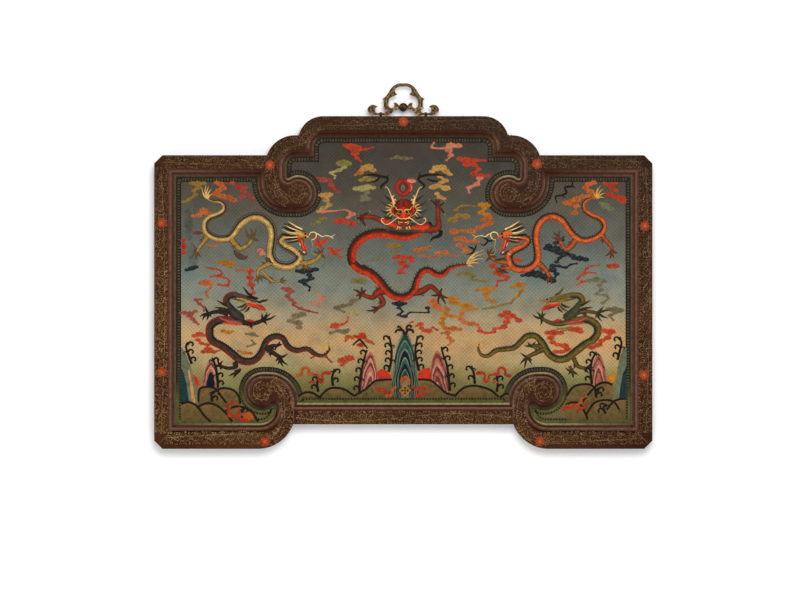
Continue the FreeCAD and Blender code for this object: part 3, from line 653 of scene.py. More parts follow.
def sight_loop(inset):
    """The whole sight edge as a closed run of points, clockwise from the middle of the crest."""
    corner_centre = (CUSP_HALF - CREST_INNER_RADIUS, CREST_SIGHT_Z - CREST_INNER_RADIUS)
    right = arc(corner_centre, CREST_INNER_RADIUS + inset, 90, 0, 10)
    right.append((CUSP_HALF + inset, CUSP_Z + inset))
    right += reversed(scroll_points(SHOULDER_SCROLL, inset))
    right.append((STILE_SIGHT_HALF + inset, SHOULDER_SIGHT_Z + inset))
    right.append((STILE_SIGHT_HALF + inset, FOOT_SIGHT_Z - inset))
    right += reversed(scroll_points(FOOT_SCROLL, inset))
    return right + mirror(reversed(right))


def profile_arc(start, middle, end, count):
    """Points on the arc through three points of a moulding's section, without the last."""
    ax, ay = start
    bx, by = middle
    cx, cy = end
    twice = 2 * (ax * (by - cy) + bx * (cy - ay) + cx * (ay - by))
    ux = ((ax * ax + ay * ay) * (by - cy) + (bx * bx + by * by) * (cy - ay) + (cx * cx + cy * cy) * (ay - by)) / twice
    uy = ((ax * ax + ay * ay) * (cx - bx) + (bx * bx + by * by) * (ax - cx) + (cx * cx + cy * cy) * (bx - ax)) / twice
    first = math.degrees(math.atan2(ay - uy, ax - ux))
    last = math.degrees(math.atan2(cy - uy, cx - ux))
    turn = (last - first + 180) % 360 - 180
    return arc((ux, uy), math.hypot(ax - ux, ay - uy), first, first + turn, count)[:-1]


def moulding_rows():
    """Section of the moulding as (inset, height above the field, tints), a hair proud of the solid."""
    proud = 0.00012
    hollow_start = BEAD_WIDTH
    hollow_end = BEAD_WIDTH + HOLLOW_WIDTH
    hollow_top = BEAD_FOOT + HOLLOW_RISE
    cushion_top = FIELD_RECESS - CUSHION_STEP
    bend_share = math.sin(math.pi / 4)
    bead = profile_arc((0, BEAD_FOOT), (BEAD_WIDTH / 2, BEAD_FOOT + BEAD_RISE), (BEAD_WIDTH, BEAD_FOOT), 10)
    hollow = profile_arc(
        (hollow_start, BEAD_FOOT),
        (hollow_start + HOLLOW_WIDTH * bend_share, BEAD_FOOT + HOLLOW_RISE * (1 - bend_share)),
        (hollow_end, hollow_top), 8)
    cushion = profile_arc(
        (hollow_end, hollow_top),
        (hollow_end + (MOULDING_WIDTH - hollow_end) * (1 - bend_share),
         hollow_top + (cushion_top - hollow_top) * bend_share),
        (MOULDING_WIDTH, cushion_top), 12)
    # Tints as (facing down, facing up, facing sideways): painted shade where the edge faces down, painted highlight
    # where it faces up or sideways
    bead_tints = srgb(60, 40, 29), srgb(146, 132, 96), srgb(84, 70, 53)
    wall_tints = srgb(30, 24, 17), srgb(74, 76, 38), srgb(50, 46, 30)
    hollow_tints = srgb(68, 35, 22), srgb(60, 32, 16), srgb(84, 50, 36)
    cushion_tints = srgb(66, 35, 23), srgb(126, 90, 68), srgb(118, 84, 70)
    ridge_tints = srgb(54, 28, 16), srgb(62, 35, 22), srgb(78, 50, 36)
    rows = [(-proud, -proud, wall_tints), (-proud, BEAD_FOOT * 0.7, wall_tints)]
    rows += [(d, h + proud, bead_tints) for d, h in bead]
    rows += [(d, h + proud, hollow_tints) for d, h in hollow]
    for k, (d, h) in enumerate(cushion):
        share = k / (len(cushion) - 1)
        tints = [mixed(a, b, min(1.0, share * 4)) for a, b in zip(hollow_tints, cushion_tints)]
        tints = [mixed(a, b, max(0.0, min(1.0, share * 3 - 1.6))) for a, b in zip(tints, ridge_tints)]
        rows.append((d, h + proud, tints))
    rows.append((MOULDING_WIDTH, cushion_top + proud, ridge_tints))
    rows.append((MOULDING_WIDTH + proud, cushion_top - proud, ridge_tints))
    return rows


def facing_shares(loop):
    """How far each point's edge faces up, from nought below a rail to one above it, and how far sideways."""
    shares = []
    for k, here in enumerate(loop):
        before, after = loop[k - 1], loop[(k + 1) % len(loop)]
        run = math.dist(before, after) or 1.0
        shares.append((0.5 - 0.5 * (after[0] - before[0]) / run, abs(before[1] - after[1]) / run))
    return shares


def swept(rows, name, finish, slot):
    """A band round the sight edge through rows of (inset, height, tints), its colour set by the way each edge faces:
    painted highlight where it faces up or sideways, painted shade where it faces down.
    """
    relief = Relief(FIELD_Y)
    shares = facing_shares(sight_loop(0.0))
    rings = []
    for inset, height, (low, high, side) in rows:
        rings.append([
            relief.add(x, z, height, mixed(mixed(low, high, up ** 1.8), side, across ** 2), k, inset)
            for k, ((x, z), (up, across)) in enumerate(zip(sight_loop(inset), shares))
        ])
    for first, second in zip(rings, rings[1:]):
        relief.bridge(first, second)
    return relief.build(name, finish, slot)


def sight_moulding():
    swept(moulding_rows(), "sight_moulding", PAINT, "lacquer_frame")


# Border round the painted field

GREEN_BAND = 0.0058         # plain band beside the sight edge
DOTTED_BAND = 0.0052        # dotted band inside it
TICK_PITCH = 0.0062
TICK_LENGTH = 0.0028
BORDER_LIFT = 0.00025


def border_tint(z, low, high):
    """Border colour by height: one at the foot of the picture, the other from the scrolls upwards."""
    share = (z - RAIL_SIGHT_Z) / 0.05
    return mixed(low, high, min(1.0, max(0.0, share)))


BORDER_STEP = 0.012     # longest piece of an edge between two of the border's points
TICK_CHANGE = 0.025     # height above the rail from which the dashes cross both bands


def split_edges(loop, counts):
    """The closed loop with each edge cut into its own count of equal parts."""
    found = []
    for first, second, count in zip(loop, loop[1:] + loop[:1], counts):
        found += [mixed(first, second, k / count) for k in range(count)]
    return found


def border_bands():
    """A plain band and a darker band round the field, each with its own edge."""
    relief = Relief(FIELD_Y)
    outline = sight_loop(0.0)
    counts = [max(1, round(math.dist(a, b) / BORDER_STEP)) for a, b in zip(outline, outline[1:] + outline[:1])]
    joint = -GREEN_BAND
    inner = -GREEN_BAND - DOTTED_BAND
    tints = {
        "plain": (srgb(84, 86, 40), srgb(40, 34, 23)),
        "dotted": (srgb(84, 72, 40), srgb(27, 23, 17)),
    }
    for band, outer_inset, inner_inset, lift in (
        ("plain", 0.0, joint, BORDER_LIFT), ("dotted", joint, inner, BORDER_LIFT * 0.6),
    ):
        rings = []
        for inset, height in ((outer_inset, lift), (inner_inset, lift), (inner_inset, -SINK), (outer_inset, -SINK)):
            loop = split_edges(sight_loop(inset), counts)
            rings.append([relief.add(x, z, height, border_tint(z, *tints[band])) for x, z in loop])
        for first, second in zip(rings, rings[1:] + rings[:1]):
            relief.bridge(first, second)
    return relief.build("border_bands", PAINT, "lacquer_field")


def border_ticks():
    """Short dashes along the dotted band at the foot of the picture, and over both bands above it."""
    relief = Relief(FIELD_Y)
    both = GREEN_BAND + DOTTED_BAND
    loop = sight_loop(-GREEN_BAND - DOTTED_BAND / 2)
    track = Track(loop + loop[:1])
    count = int(track.length / TICK_PITCH)
    for k in range(count):
        start = track.beside(k * TICK_PITCH)
        end = track.beside(k * TICK_PITCH + TICK_LENGTH)
        if math.dist(start, end) < TICK_LENGTH / 2:
            continue
        tint = border_tint(start[1], srgb(20, 16, 9), srgb(80, 67, 47))
        tint = shaded(tint, random.uniform(0.75, 1.15))
        half = DOTTED_BAND * 0.40
        if start[1] > RAIL_SIGHT_Z + TICK_CHANGE:
            half = both * 0.25
            start = track.beside(k * TICK_PITCH, (both - DOTTED_BAND) * 0.45)
            end = track.beside(k * TICK_PITCH + TICK_LENGTH, (both - DOTTED_BAND) * 0.45)
        relief.stroke([(*start, half), (*end, half)], BORDER_LIFT + LAYER, [tint], crown=0.00005)
    return relief.build("border_ticks", PAINT, "lacquer_field")


# Hatching of the ground

HATCH_PITCH = 0.0060
HATCH_HALF = 0.00085
HATCH_RISE = 0.00004


def hatch_runs(loop, slope):
    """Stretches of parallel slanting lines inside the loop, as pairs of points."""
    turn = math.sqrt(0.5)
    turned = [((x + slope * z) * turn, (z - slope * x) * turn) for x, z in loop]
    lows = [q for p, q in turned]
    first = math.ceil(min(lows) / HATCH_PITCH)
    last = math.floor(max(lows) / HATCH_PITCH)
    for k in range(first, last + 1):
        level = (k + 0.37) * HATCH_PITCH
        crossings = []
        for (p0, q0), (p1, q1) in zip(turned, turned[1:] + turned[:1]):
            if (q0 > level) != (q1 > level):
                crossings.append(p0 + (p1 - p0) * (level - q0) / (q1 - q0))
        crossings.sort()
        for start, end in zip(crossings[::2], crossings[1::2]):
            if end - start > HATCH_PITCH / 2:
                yield [((p - slope * level) * turn, (level + slope * p) * turn) for p in (start, end)]


def field_hatching():
    """Fine slanting lines both ways over the whole ground."""
    relief = Relief(FIELD_Y)
    loop = sight_loop(-GREEN_BAND - DOTTED_BAND)
    tint = (1.0, 1.0, 1.0)
    for slope, half in ((1, HATCH_HALF), (-1, HATCH_HALF * 0.95)):
        rise = HATCH_RISE if slope > 0 else HATCH_RISE * 0.8
        for start, end in hatch_runs(loop, slope):
            relief.wire([(*start, half), (*end, half)], rise, tint)
    return relief.build("field_hatching", HATCH_LACQUER, "lacquer_field")


# Clouds: runs of lobes (x, y, radius) in the photograph's pixels

CLOUDS = {
    "red": [
        [(345.5, 145.3, 1.6), (351, 146.5, 2.8), (356, 148.5, 3.2), (355, 153, 2.2), (357, 158, 1.4), (361, 161, 0.8)],
        [(357, 148.5, 2.0), (366, 148.9, 1.2), (373, 147, 0.9)],
        [(460, 158.5, 1.8), (466, 160, 2.6), (475, 160, 1.8), (485, 160, 1.0)],
        [(467, 164, 2.2), (474, 164.5, 1.8), (479, 169, 1.5), (474, 173.5, 1.9), (481, 176, 2.3), (489, 175.5, 1.3)],
        [(335.5, 220.5, 1.4), (340, 221, 2.8), (347, 222, 1.8), (352, 223.5, 2.4)],
        [(327.5, 238.5, 1.1), (323, 242, 1.6), (318, 244.5, 2.0), (316, 239, 0.9)],
        [(328, 248, 0.9), (331, 248, 1.2), (333, 252, 2.0), (338, 250, 1.2), (343, 248.5, 0.7)],
        [(333, 253, 1.6), (341, 257, 0.9)],
        [(394, 257.5, 1.2), (399, 257, 2.0), (404, 257.5, 2.2), (410.5, 258, 2.0), (412, 261, 1.5)],
        [(402, 263, 2.4), (406, 266, 2.0), (401, 270, 1.7), (399, 273, 1.2), (404, 273, 0.9)],
        [(205, 267.5, 0.7), (212, 268.5, 1.0), (219, 270, 1.0), (221.5, 274, 1.1), (214, 276, 1.0), (209.5, 277, 0.7)],
        [(214, 276, 1.0), (224, 277.5, 1.1), (229, 281, 1.1), (226.5, 285.5, 1.3), (218, 284.5, 1.1)],
        [(250, 271, 1.9), (249.5, 278, 2.0), (251, 285, 2.0), (253, 293, 1.3)],
        [(600, 265, 0.7), (592, 266, 1.0), (587, 268.5, 1.1), (585, 272.5, 1.1)],
        [(596, 273, 0.8), (589, 272.5, 1.0), (582, 275, 1.2), (578, 279, 1.1)],
        [(577, 285, 0.8), (583, 281.5, 1.2), (589, 281.5, 0.9)],
        [(610.5, 266, 2.0), (615.5, 266, 2.2)],
        [(496.5, 273, 1.6), (501, 274.5, 2.2), (507, 277, 1.8), (506, 280, 1.2), (499, 281, 1.2), (497, 285.5, 1.1)],
        [(493, 266, 2.2), (497, 268, 1.3)],
        [(502, 315.5, 2.0), (507, 313, 2.4), (513, 316, 2.0), (519, 320.5, 2.0)],
        [(508, 318, 1.8), (507, 322, 2.0), (504, 327, 2.0), (495, 329, 1.4), (494, 332, 1.4), (486, 333, 1.3),
         (480, 331, 1.6), (479.5, 327.5, 1.0)],
        [(194, 336, 1.6), (199, 334.5, 2.2), (203, 335.5, 1.4)],
        [(197.5, 340, 1.5), (201, 343.5, 1.4), (207, 345, 1.4), (206, 349, 1.4)],
        [(203, 352, 1.6), (208, 350.5, 2.6), (213, 352, 1.6), (219, 350.5, 0.9)],
        [(548, 333, 1.8), (554, 333, 2.6), (561, 333, 1.8)],
        [(551, 338, 2.0), (553, 342.5, 1.8), (558, 345, 1.7), (565, 346, 2.3), (568, 349.5, 2.0), (562, 352, 1.7),
         (556, 352, 1.7)],
        [(572, 329.5, 2.0), (578, 330, 2.6), (581, 332, 1.6)],
        [(605, 331, 2.0), (611, 332, 2.6), (608, 338, 2.0), (602, 341, 1.8), (599, 345, 2.2), (592, 347.5, 2.2)],
        [(605, 183, 1.4), (611, 184.5, 2.2), (616, 183, 1.2), (613, 188.5, 1.8), (617, 190.5, 1.3)],
        [(610, 194.5, 2.0), (616, 196, 2.0), (622, 199, 2.6), (624, 202, 1.5)],
        [(515, 259, 1.3), (519, 260.5, 2.0)],
        [(331, 327, 1.1), (335, 326, 2.6), (342, 324.5, 1.3), (347, 321.5, 1.1), (348, 317, 0.8)],
        [(424.5, 331, 1.5), (428.5, 331, 2.2)],
        [(416.5, 326, 1.1), (420.5, 324.5, 1.9), (421.5, 328.5, 1.5)],
        [(410, 323, 0.8), (412.5, 322, 1.0)],
        [(433, 327.5, 1.1), (437.5, 330, 1.1)],
        [(342.5, 361, 2.8), (349, 358.5, 2.8), (342, 365.5, 1.3)],
        [(183, 240, 1.5), (183, 247, 1.8), (183, 253, 1.3)],
        [(345.5, 341, 0.8), (348, 337, 1.6), (353, 337, 1.0), (355, 336.5, 1.1)],
        [(362, 335, 2.0), (364.5, 338.5, 1.3)],
        [(367, 341, 1.3), (370, 342, 1.5), (373.5, 344, 0.8)],
    ],
    "crimson": [
        [(226, 183, 0.9), (232, 183, 1.7), (237, 184.5, 2.2), (239, 187.5, 2.0), (244, 186.5, 1.8)],
        [(244, 187, 1.8), (243, 191, 1.8), (242, 196.5, 2.0)], [(249, 194.5, 1.7), (252, 198, 1.4), (253, 202, 1.0)],
        [(318, 178, 1.3), (323, 180, 2.4), (329, 180.5, 1.9), (331, 185, 1.8), (333, 189, 1.7), (338, 191.5, 1.2)],
        [(293, 305, 1.1), (300, 308.5, 1.3), (308, 311, 1.2), (317, 313, 0.9)],
        [(283, 288.5, 1.3), (288, 290, 2.2), (292, 291.5, 1.5), (287, 296, 1.5), (291, 300, 1.5), (294, 303, 1.3)],
        [(180, 313, 1.0), (184, 313, 1.7), (189, 314, 2.1), (195, 311.5, 1.3)],
        [(189, 316, 1.7), (192, 319, 1.6), (194.5, 322, 1.3), (198, 324.5, 0.8)],
        [(201, 299.5, 1.0), (195.5, 300, 1.3), (199, 304, 1.2), (203, 307, 1.0), (203.5, 311, 0.8)],
        [(311, 358, 1.0), (318, 355, 1.2), (325, 356.5, 1.3), (331, 362, 1.0)],
    ],
    "orange": [
        [(216, 182.5, 1.6), (220.5, 184, 2.0), (222.5, 188, 2.0), (218, 190.5, 1.8), (215.5, 193.5, 2.0)],
        [(217, 194.5, 2.0), (222, 196, 2.0), (228, 197.5, 2.4), (233, 200, 2.0)],
        [(193, 216, 1.3), (198, 215.5, 1.9), (203, 211, 2.6), (207, 213, 2.0)],
        [(594, 182.5, 1.8), (589, 184, 2.0), (586, 187.5, 1.8), (591, 191.5, 2.0), (594, 194, 2.0)],
        [(589, 196, 1.6), (583, 196.5, 2.0), (577, 199, 2.4), (571, 202.5, 2.8), (566, 203, 1.8)],
        [(578, 200, 1.8), (577, 206, 1.8), (575, 213, 1.9)],
        [(489, 217.5, 2.0), (484, 219.5, 1.6), (490, 223, 2.0), (485, 225.5, 1.7), (479, 227.5, 1.8), (471, 231.5, 2.5),
         (462, 230.5, 1.2), (454, 231.5, 2.5)],
        [(457, 239, 1.8), (462, 238.5, 2.2), (466, 241.5, 1.6), (476, 241, 2.0)],
        [(459, 245, 1.8), (464, 247, 2.0), (466, 251.5, 1.8), (471, 252, 1.3)],
        [(417, 250.5, 2.0), (423, 249, 1.8), (430, 247, 1.3)], [(420, 255, 0.9), (430, 257, 1.0), (440, 256, 0.9)],
        [(437, 252.5, 1.4), (445, 252, 1.8), (450, 255, 1.1), (458, 255.5, 0.9)],
        [(430, 302, 1.6), (434, 301, 2.0), (436, 306, 2.6), (441, 309, 2.2), (446, 309.5, 2.4)],
        [(462, 313.5, 1.6), (461, 319, 1.8), (465, 322.5, 1.8), (472, 324, 2.2), (477, 325, 1.4)],
        [(446, 328.5, 1.8), (453, 329, 2.4), (459.5, 329.5, 1.5)],
        [(442, 333.5, 1.1), (447.5, 333, 1.8), (449, 338, 1.6), (452, 341, 1.4), (448.5, 345, 0.9)],
        [(201, 283, 1.6), (205.5, 283, 2.7), (210, 283.5, 1.6), (210, 288, 1.0), (206, 292, 1.1), (207, 297, 1.1)],
        [(237.5, 271, 1.3), (243, 269.5, 1.4), (248, 270, 1.1)], [(355.5, 174.5, 1.1), (360, 172.5, 1.8)],
        [(238, 351, 1.1), (244, 353, 1.6), (250, 353.5, 1.3)], [(247, 304, 1.2), (254, 306, 1.8), (262, 309, 1.4)],
    ],
    "amber": [
        [(219, 262.5, 1.6), (225, 263, 2.7), (232, 262.5, 1.8), (230, 266.5, 1.5)],
        [(482, 205, 2.2), (487, 205, 2.2), (485, 208.5, 1.2), (481.5, 212.5, 1.8), (488, 215, 1.9)],
        [(477, 290, 1.3), (486, 289.5, 2.4), (494, 288.5, 1.5), (486, 294, 2.0), (488, 299.5, 1.6), (494, 301.5, 1.7)],
        [(513, 287, 1.5), (519, 285, 2.4), (524, 284.5, 1.3), (522, 291.5, 1.5), (518, 296, 1.3), (514, 299.5, 1.1)],
        [(445, 297.5, 0.9), (451, 298.5, 2.2), (457.5, 299, 1.2), (452, 302.5, 1.8), (457, 303.5, 1.8)],
        [(460, 304.5, 1.2), (466, 305.5, 2.4), (471, 305, 1.3), (464, 309.5, 1.8), (472, 309.5, 1.6), (478, 309, 1.1)],
        [(446, 314.5, 2.2), (452, 316.5, 1.8), (461, 317, 1.7)], [(443, 318.5, 1.8), (441.5, 323, 1.8), (443.5, 326, 1.3)],
        [(223, 331, 1.5), (228, 332.5, 1.8), (232, 331.5, 1.1)],
    ],
    "mustard": [
        [(191.5, 183, 1.6), (197, 183.5, 2.3), (203, 183, 1.6)],
        [(198, 187.5, 1.8), (193, 190.5, 1.3), (195, 194.5, 1.3), (189, 199, 1.5), (183, 201.5, 1.2)],
        [(453, 220, 2.6), (459, 215.5, 2.0), (466, 216.5, 2.4)], [(456, 210, 1.3), (462, 205.5, 1.1), (475, 206, 0.8)],
        [(389, 245.5, 1.8), (395, 245.5, 2.4), (400, 246.5, 1.6)], [(320, 219, 1.1), (324, 218.5, 1.5)],
        [(483, 309, 0.9), (493, 307.5, 1.2), (503, 304.5, 1.1), (511, 303, 1.1), (513.5, 299.5, 0.9)],
    ],
    "olive": [
        [(339.5, 163, 2.0), (343.5, 163.5, 3.2), (347.5, 163.5, 2.2)],
        [(361, 180, 1.6), (367, 178.5, 2.5), (372, 180, 1.8), (377, 178.5, 1.0)],
        [(355, 281, 2.2), (360, 280.5, 3.0), (365, 282.5, 1.6)], [(313, 224, 1.3), (318, 222, 1.6)],
        [(459, 274.5, 1.6), (466, 273.5, 2.0), (473, 275.5, 1.6), (472, 279.5, 1.3), (477, 280.5, 1.2), (485, 281, 1.3)],
        [(399, 250.5, 1.1), (391, 252.5, 1.4)], [(565, 330, 1.2), (571, 328, 1.4), (558, 329, 1.0)],
    ],
    "tan": [
        [(361, 171, 1.6), (365, 168, 2.6), (369, 166.5, 2.4), (373, 170, 1.8)],
        [(432, 171.5, 1.6), (437, 168, 2.6), (442, 167.5, 2.6), (446, 171, 2.0), (450, 174, 1.5)],
        [(440, 176.5, 1.4), (445.5, 180.5, 1.8), (441, 182.5, 1.4)], [(433, 187, 2.0), (438, 185.5, 2.0), (446, 188, 2.4)],
        [(437, 193.5, 1.4), (440, 197, 1.7), (444, 198.5, 1.3)],
        [(321, 195, 1.8), (325.5, 195.5, 2.6), (329.5, 194.5, 1.8)],
        [(326, 200, 1.8), (329, 205, 1.6), (323, 208, 1.8), (318, 211.5, 1.2)],
    ],
    "pink": [
        [(434, 142.5, 0.9), (432, 147, 1.1), (444, 148, 1.2), (451, 145.5, 2.6), (458.5, 145.5, 2.0)],
        [(449, 150, 2.0), (451, 155, 1.7), (446.5, 160, 0.9)],
        [(480, 178, 1.8), (477, 184, 1.8), (469, 187.5, 1.5), (469.5, 192.5, 0.9)],
        [(322, 211.5, 1.6), (336, 210.5, 0.8), (346, 209.8, 0.8), (352, 214, 1.9), (348, 217.5, 1.3)],
        [(318, 295, 1.5), (322.5, 298, 1.7), (320, 302, 1.1), (312.5, 303, 1.3), (318, 306, 0.9), (325, 308, 0.9)],
        [(260, 250.5, 1.8), (262, 254, 1.7)],
    ],
    "pale": [
        [(356, 188.5, 1.8), (362, 188.5, 2.6), (368, 187, 2.4), (373, 187.5, 1.6)],
        [(344, 167, 1.5), (339, 170, 1.5), (331, 172.5, 1.2), (335, 175.5, 0.9), (334.5, 178, 0.9)],
        [(353, 313, 2.0), (357, 314, 1.5)],
    ],
    "sage": [
        [(367, 192.5, 1.6), (364, 196.5, 1.8), (368, 199, 1.6), (362, 200, 1.2)],
        [(382, 257.5, 1.5), (375, 259.5, 1.5), (367, 261, 1.1), (363, 263, 1.1)],
        [(331, 333, 1.4), (338, 331, 1.8), (344, 332, 2.3), (348, 330, 1.3)],
        [(590, 281, 1.6), (597, 279.5, 2.4), (604, 281, 1.8), (600, 285, 1.5), (602, 290, 1.3), (597, 294, 1.2),
         (606, 295.5, 1.3), (609, 298.5, 1.1), (603, 303, 1.3)],
        [(602, 203, 1.4), (606, 206, 2.6), (611, 209, 1.9)], [(246, 334, 1.1), (252, 334.5, 2.0), (257, 336, 1.1)],
        [(251, 340.5, 0.9), (254, 344, 1.2), (247, 346.5, 0.9)],
    ],
    "grey": [
        [(391, 158.4, 1.1), (397, 157, 1.7), (404, 158.2, 1.9), (411, 158, 1.2)],
        [(296, 316, 2.5), (302, 314.5, 2.3), (290, 321, 1.8), (298, 323, 2.4), (299, 327.5, 1.7)],
        [(609, 309, 1.6), (615, 310, 2.7), (621, 310.5, 2.0), (611, 315.5, 1.3), (614, 320, 0.9)],
        [(360, 299, 0.9), (353, 301, 2.0), (350, 304.5, 1.5), (343, 306, 1.8), (337, 308, 2.0), (344, 312, 0.9)],
    ],
    "navy": [
        [(531, 271, 2.2), (538, 274, 2.8), (546, 277, 2.8), (553, 281, 2.0)],
        [(549, 246, 2.0), (556, 249, 2.8), (564, 252, 2.6), (573, 256, 1.8)], [(556, 243, 1.6), (562, 240, 1.6)],
        [(297.5, 271, 1.5), (303, 271.5, 2.3), (309, 270.5, 2.5), (315.5, 269.5, 1.8)],
        [(309, 275, 1.6), (311, 278.5, 1.8), (304, 281, 2.0), (300.5, 281.5, 1.5), (305, 284.5, 1.3), (309.5, 287, 1.1),
         (309, 290.5, 0.9)],
        [(394, 303.5, 1.3), (399.5, 304, 2.6), (405, 303.5, 1.3)],
        [(399, 308, 1.3), (402.5, 311.5, 1.1), (399, 315, 1.3), (405, 316.5, 1.5), (410, 312.5, 1.0), (420, 312.5, 0.8),
         (428.5, 312.3, 1.1), (427.5, 308, 1.4)],
        [(523, 275.5, 1.3), (529, 274.5, 2.2), (537, 275, 2.7), (543, 276, 2.0)],
        [(553, 270, 2.2), (557, 274, 1.6), (553.5, 279, 1.3)],
        [(553, 266, 1.8), (559, 266, 1.3), (566, 267.5, 1.3), (571, 264.5, 1.1), (577, 263.5, 0.9)],
        [(574, 258.5, 1.3), (580, 258.5, 2.3), (586, 259.5, 1.8)],
        [(546, 248.5, 1.4), (553, 249.5, 2.5), (560, 252, 2.7), (564, 255, 1.8), (560, 258, 1.3), (557, 262, 1.3)],
        [(186.5, 270, 1.3), (191, 268.5, 1.9), (195, 267, 1.6)],
    ],
}


# Tints that are duller on a cloud than elsewhere
CLOUD_TINTS = {
    "red": srgb(165, 45, 22), "crimson": srgb(131, 47, 36), "orange": srgb(168, 78, 29), "amber": srgb(163, 99, 8),
    "pink": srgb(182, 103, 80), "tan": srgb(168, 125, 66),
}
SECOND_TINTS = {
    "red": "orange", "crimson": "rose", "orange": "tan", "tan": "amber", "pink": "tan", "olive": "pale", "navy": "slate",
    "amber": "mustard", "mustard": "olive", "pale": "olive",
}


def field_tint(row):
    """The ground's colour at a row of the photograph."""
    for (low, first), (high, second) in zip(FIELD_ROWS, FIELD_ROWS[1:]):
        if row <= high:
            return mixed(first, second, max(0.0, (row - low) / (high - low)))
    return FIELD_ROWS[-1][1]


DARK_TINT = 0.03


def puff(relief, layer, tints, x, y, radius):
    """One puff of cloud: a wide middle, bumps along its upper rim and a curl drawn inside."""
    light, plain, rim = tints
    dab(relief, layer, [light, plain, plain, rim], x, y, 1.7 * radius, 1.25 * radius)
    if radius < 1.15:
        return
    for k in range(5):
        angle = math.pi * (k - 0.25) / 3.5
        dab(relief, layer + 0.15, [light, plain, rim], x + 1.4 * radius * math.cos(angle),
            y - 0.85 * radius * math.sin(angle), 0.78 * radius, 0.62 * radius, sides=12)
    dark = max(plain) < DARK_TINT
    if radius > (1.2 if dark else 1.7):
        curl = [(x + 0.75 * radius * math.cos(a) * (1 - a / 9), y - 0.5 * radius * math.sin(a) * (1 - a / 9), 0.28)
                for a in (0.0, 0.9, 1.8, 2.7, 3.6, 4.5)]
        brush(relief, layer + 2.6, [mixed(plain, TINTS["sea"], 0.7) if dark else shaded(plain, 0.66)], curl)


# Dark smears on the ground, as middle and half sizes in pixels
SMEARS_PX = [(192.6, 254, 6.0, 13.0), (188.5, 222, 5.0, 19.0)]


def cloud_tint(name):
    return CLOUD_TINTS.get(name) or TINTS[name]


def clouds():
    """Every cloud: puffs along a run, joined by a ribbon, paler in the middle than at the rim."""
    warm, soft, deep = Relief(FIELD_Y), Relief(FIELD_Y), Relief(FIELD_Y)
    reliefs = {"red": warm, "crimson": warm, "orange": warm, "pink": warm, "navy": deep}
    for colour, runs in CLOUDS.items():
        tint = cloud_tint(colour)
        relief = reliefs.get(colour, soft)
        second = cloud_tint(SECOND_TINTS.get(colour, "grey"))
        for run in runs:
            shade = random.uniform(0.86, 1.08)
            light, plain, rim = (shaded(tint, shade * share) for share in (1.10, 0.96, 0.80))
            rim = mixed(rim, field_tint(run[0][1]), 0.66)
            layer = random.uniform(1.0, 1.8)
            ribbon = [(x, y, 0.95 * radius) for x, y, radius in run]
            if len(run) > 1:
                brush(relief, layer, [rim, plain, light, plain, rim], ribbon, 1.2)
            for x, y, radius in run:
                drift = random.uniform(0.0, 0.40)
                tints = (mixed(light, second, drift), mixed(plain, second, 0.6 * drift), rim)
                puff(relief, layer + random.uniform(0.2, 0.8), tints, x, y, radius)
    for x, y, across, up in SMEARS_PX:
        ground = field_tint(y)
        dab(soft, 0.6, [shaded(ground, 0.70), shaded(ground, 0.80), ground], x, y, across, up)
    warm.build("warm_clouds", WORN_PAINT, "lacquer_field")
    soft.build("soft_clouds", WORN_PAINT, "lacquer_field")
    deep.build("dark_clouds", PAINT, "lacquer_field")


# Dragons

Dragon = namedtuple("Dragon", "name spine girth coat ridge spike fringe ridge_sides limbs tufts head")



MIDDLE_PX = 403.6


def flipped(strokes):
    """The same strokes on the other side of the picture's middle line."""
    return [(tints, [(2 * MIDDLE_PX - x, y, half) for x, y, half in path]) for tints, path in strokes]


def cast(strokes, parts):
    """The same strokes with each part's own tint in place of its name."""
    return [([parts.get(tint, tint) for tint in tints], path) for tints, path in strokes]


RED_CHEST = [
    (["dark_red", "red", "vermilion", "brick"], [(381, 219.4, 2.2), (388, 222.4, 3.0), (395, 225.4, 3.2),
                                                 (400, 227.4, 2.2)]),
    (["soot", "brick", "red", "vermilion", "brick"], [(409, 227.8, 2.0), (416, 226.6, 3.4), (423, 226.6, 4.2), (429, 225.4, 3.0)]),
    (["soot", "moss", "slate", "soot"], [(386, 230.4, 0.8), (393, 228.8, 2.4), (400, 229.8, 2.8), (408, 230, 2.6),
                                         (416, 231, 1.8), (424, 232.4, 0.5)]),
    (["soot", "pine", "soot"], [(411, 223.6, 1.2), (414.6, 225, 1.8), (416, 228, 0.6)]),
    (["soot", "moss"], [(391, 224.2, 0.6), (394, 228, 1.8), (397, 231, 0.6)]),
]
RED_MANE = [
    (["soot"], [(394, 203, 1.4), (388.6, 198.6, 1.1), (384, 195, 0.2)]),
    (["slate"], [(391, 208, 1.6), (384.4, 203.6, 1.2), (380, 200.6, 0.2)]),
    (["pine"], [(390.4, 213, 1.5), (384.6, 212, 1.1), (379.6, 209, 0.2)]),
    (["soot"], [(392, 217.4, 1.3), (387.4, 217.6, 0.9), (384, 215.6, 0.2)]),
    (["gold"], [(394, 205.6, 0.7), (392.8, 203.6, 0.5), (390.6, 201.6, 0.1)]),
    (["gold"], [(392.4, 206.6, 0.7), (390, 204.8, 0.5), (387.2, 204.2, 0.1)]),
    (["gold"], [(391.2, 208, 0.7), (388, 207.2, 0.5), (385.6, 206.6, 0.1)]),
    (["cream"], [(390.8, 209.8, 0.7), (387.8, 210, 0.5), (385.4, 210.6, 0.1)]),
    (["gold"], [(391, 211.8, 0.7), (388.8, 213, 0.5), (386.8, 214.6, 0.1)]),
    (["gold"], [(392.4, 213.4, 0.7), (390.8, 215, 0.5), (389.4, 216.8, 0.1)]),
]
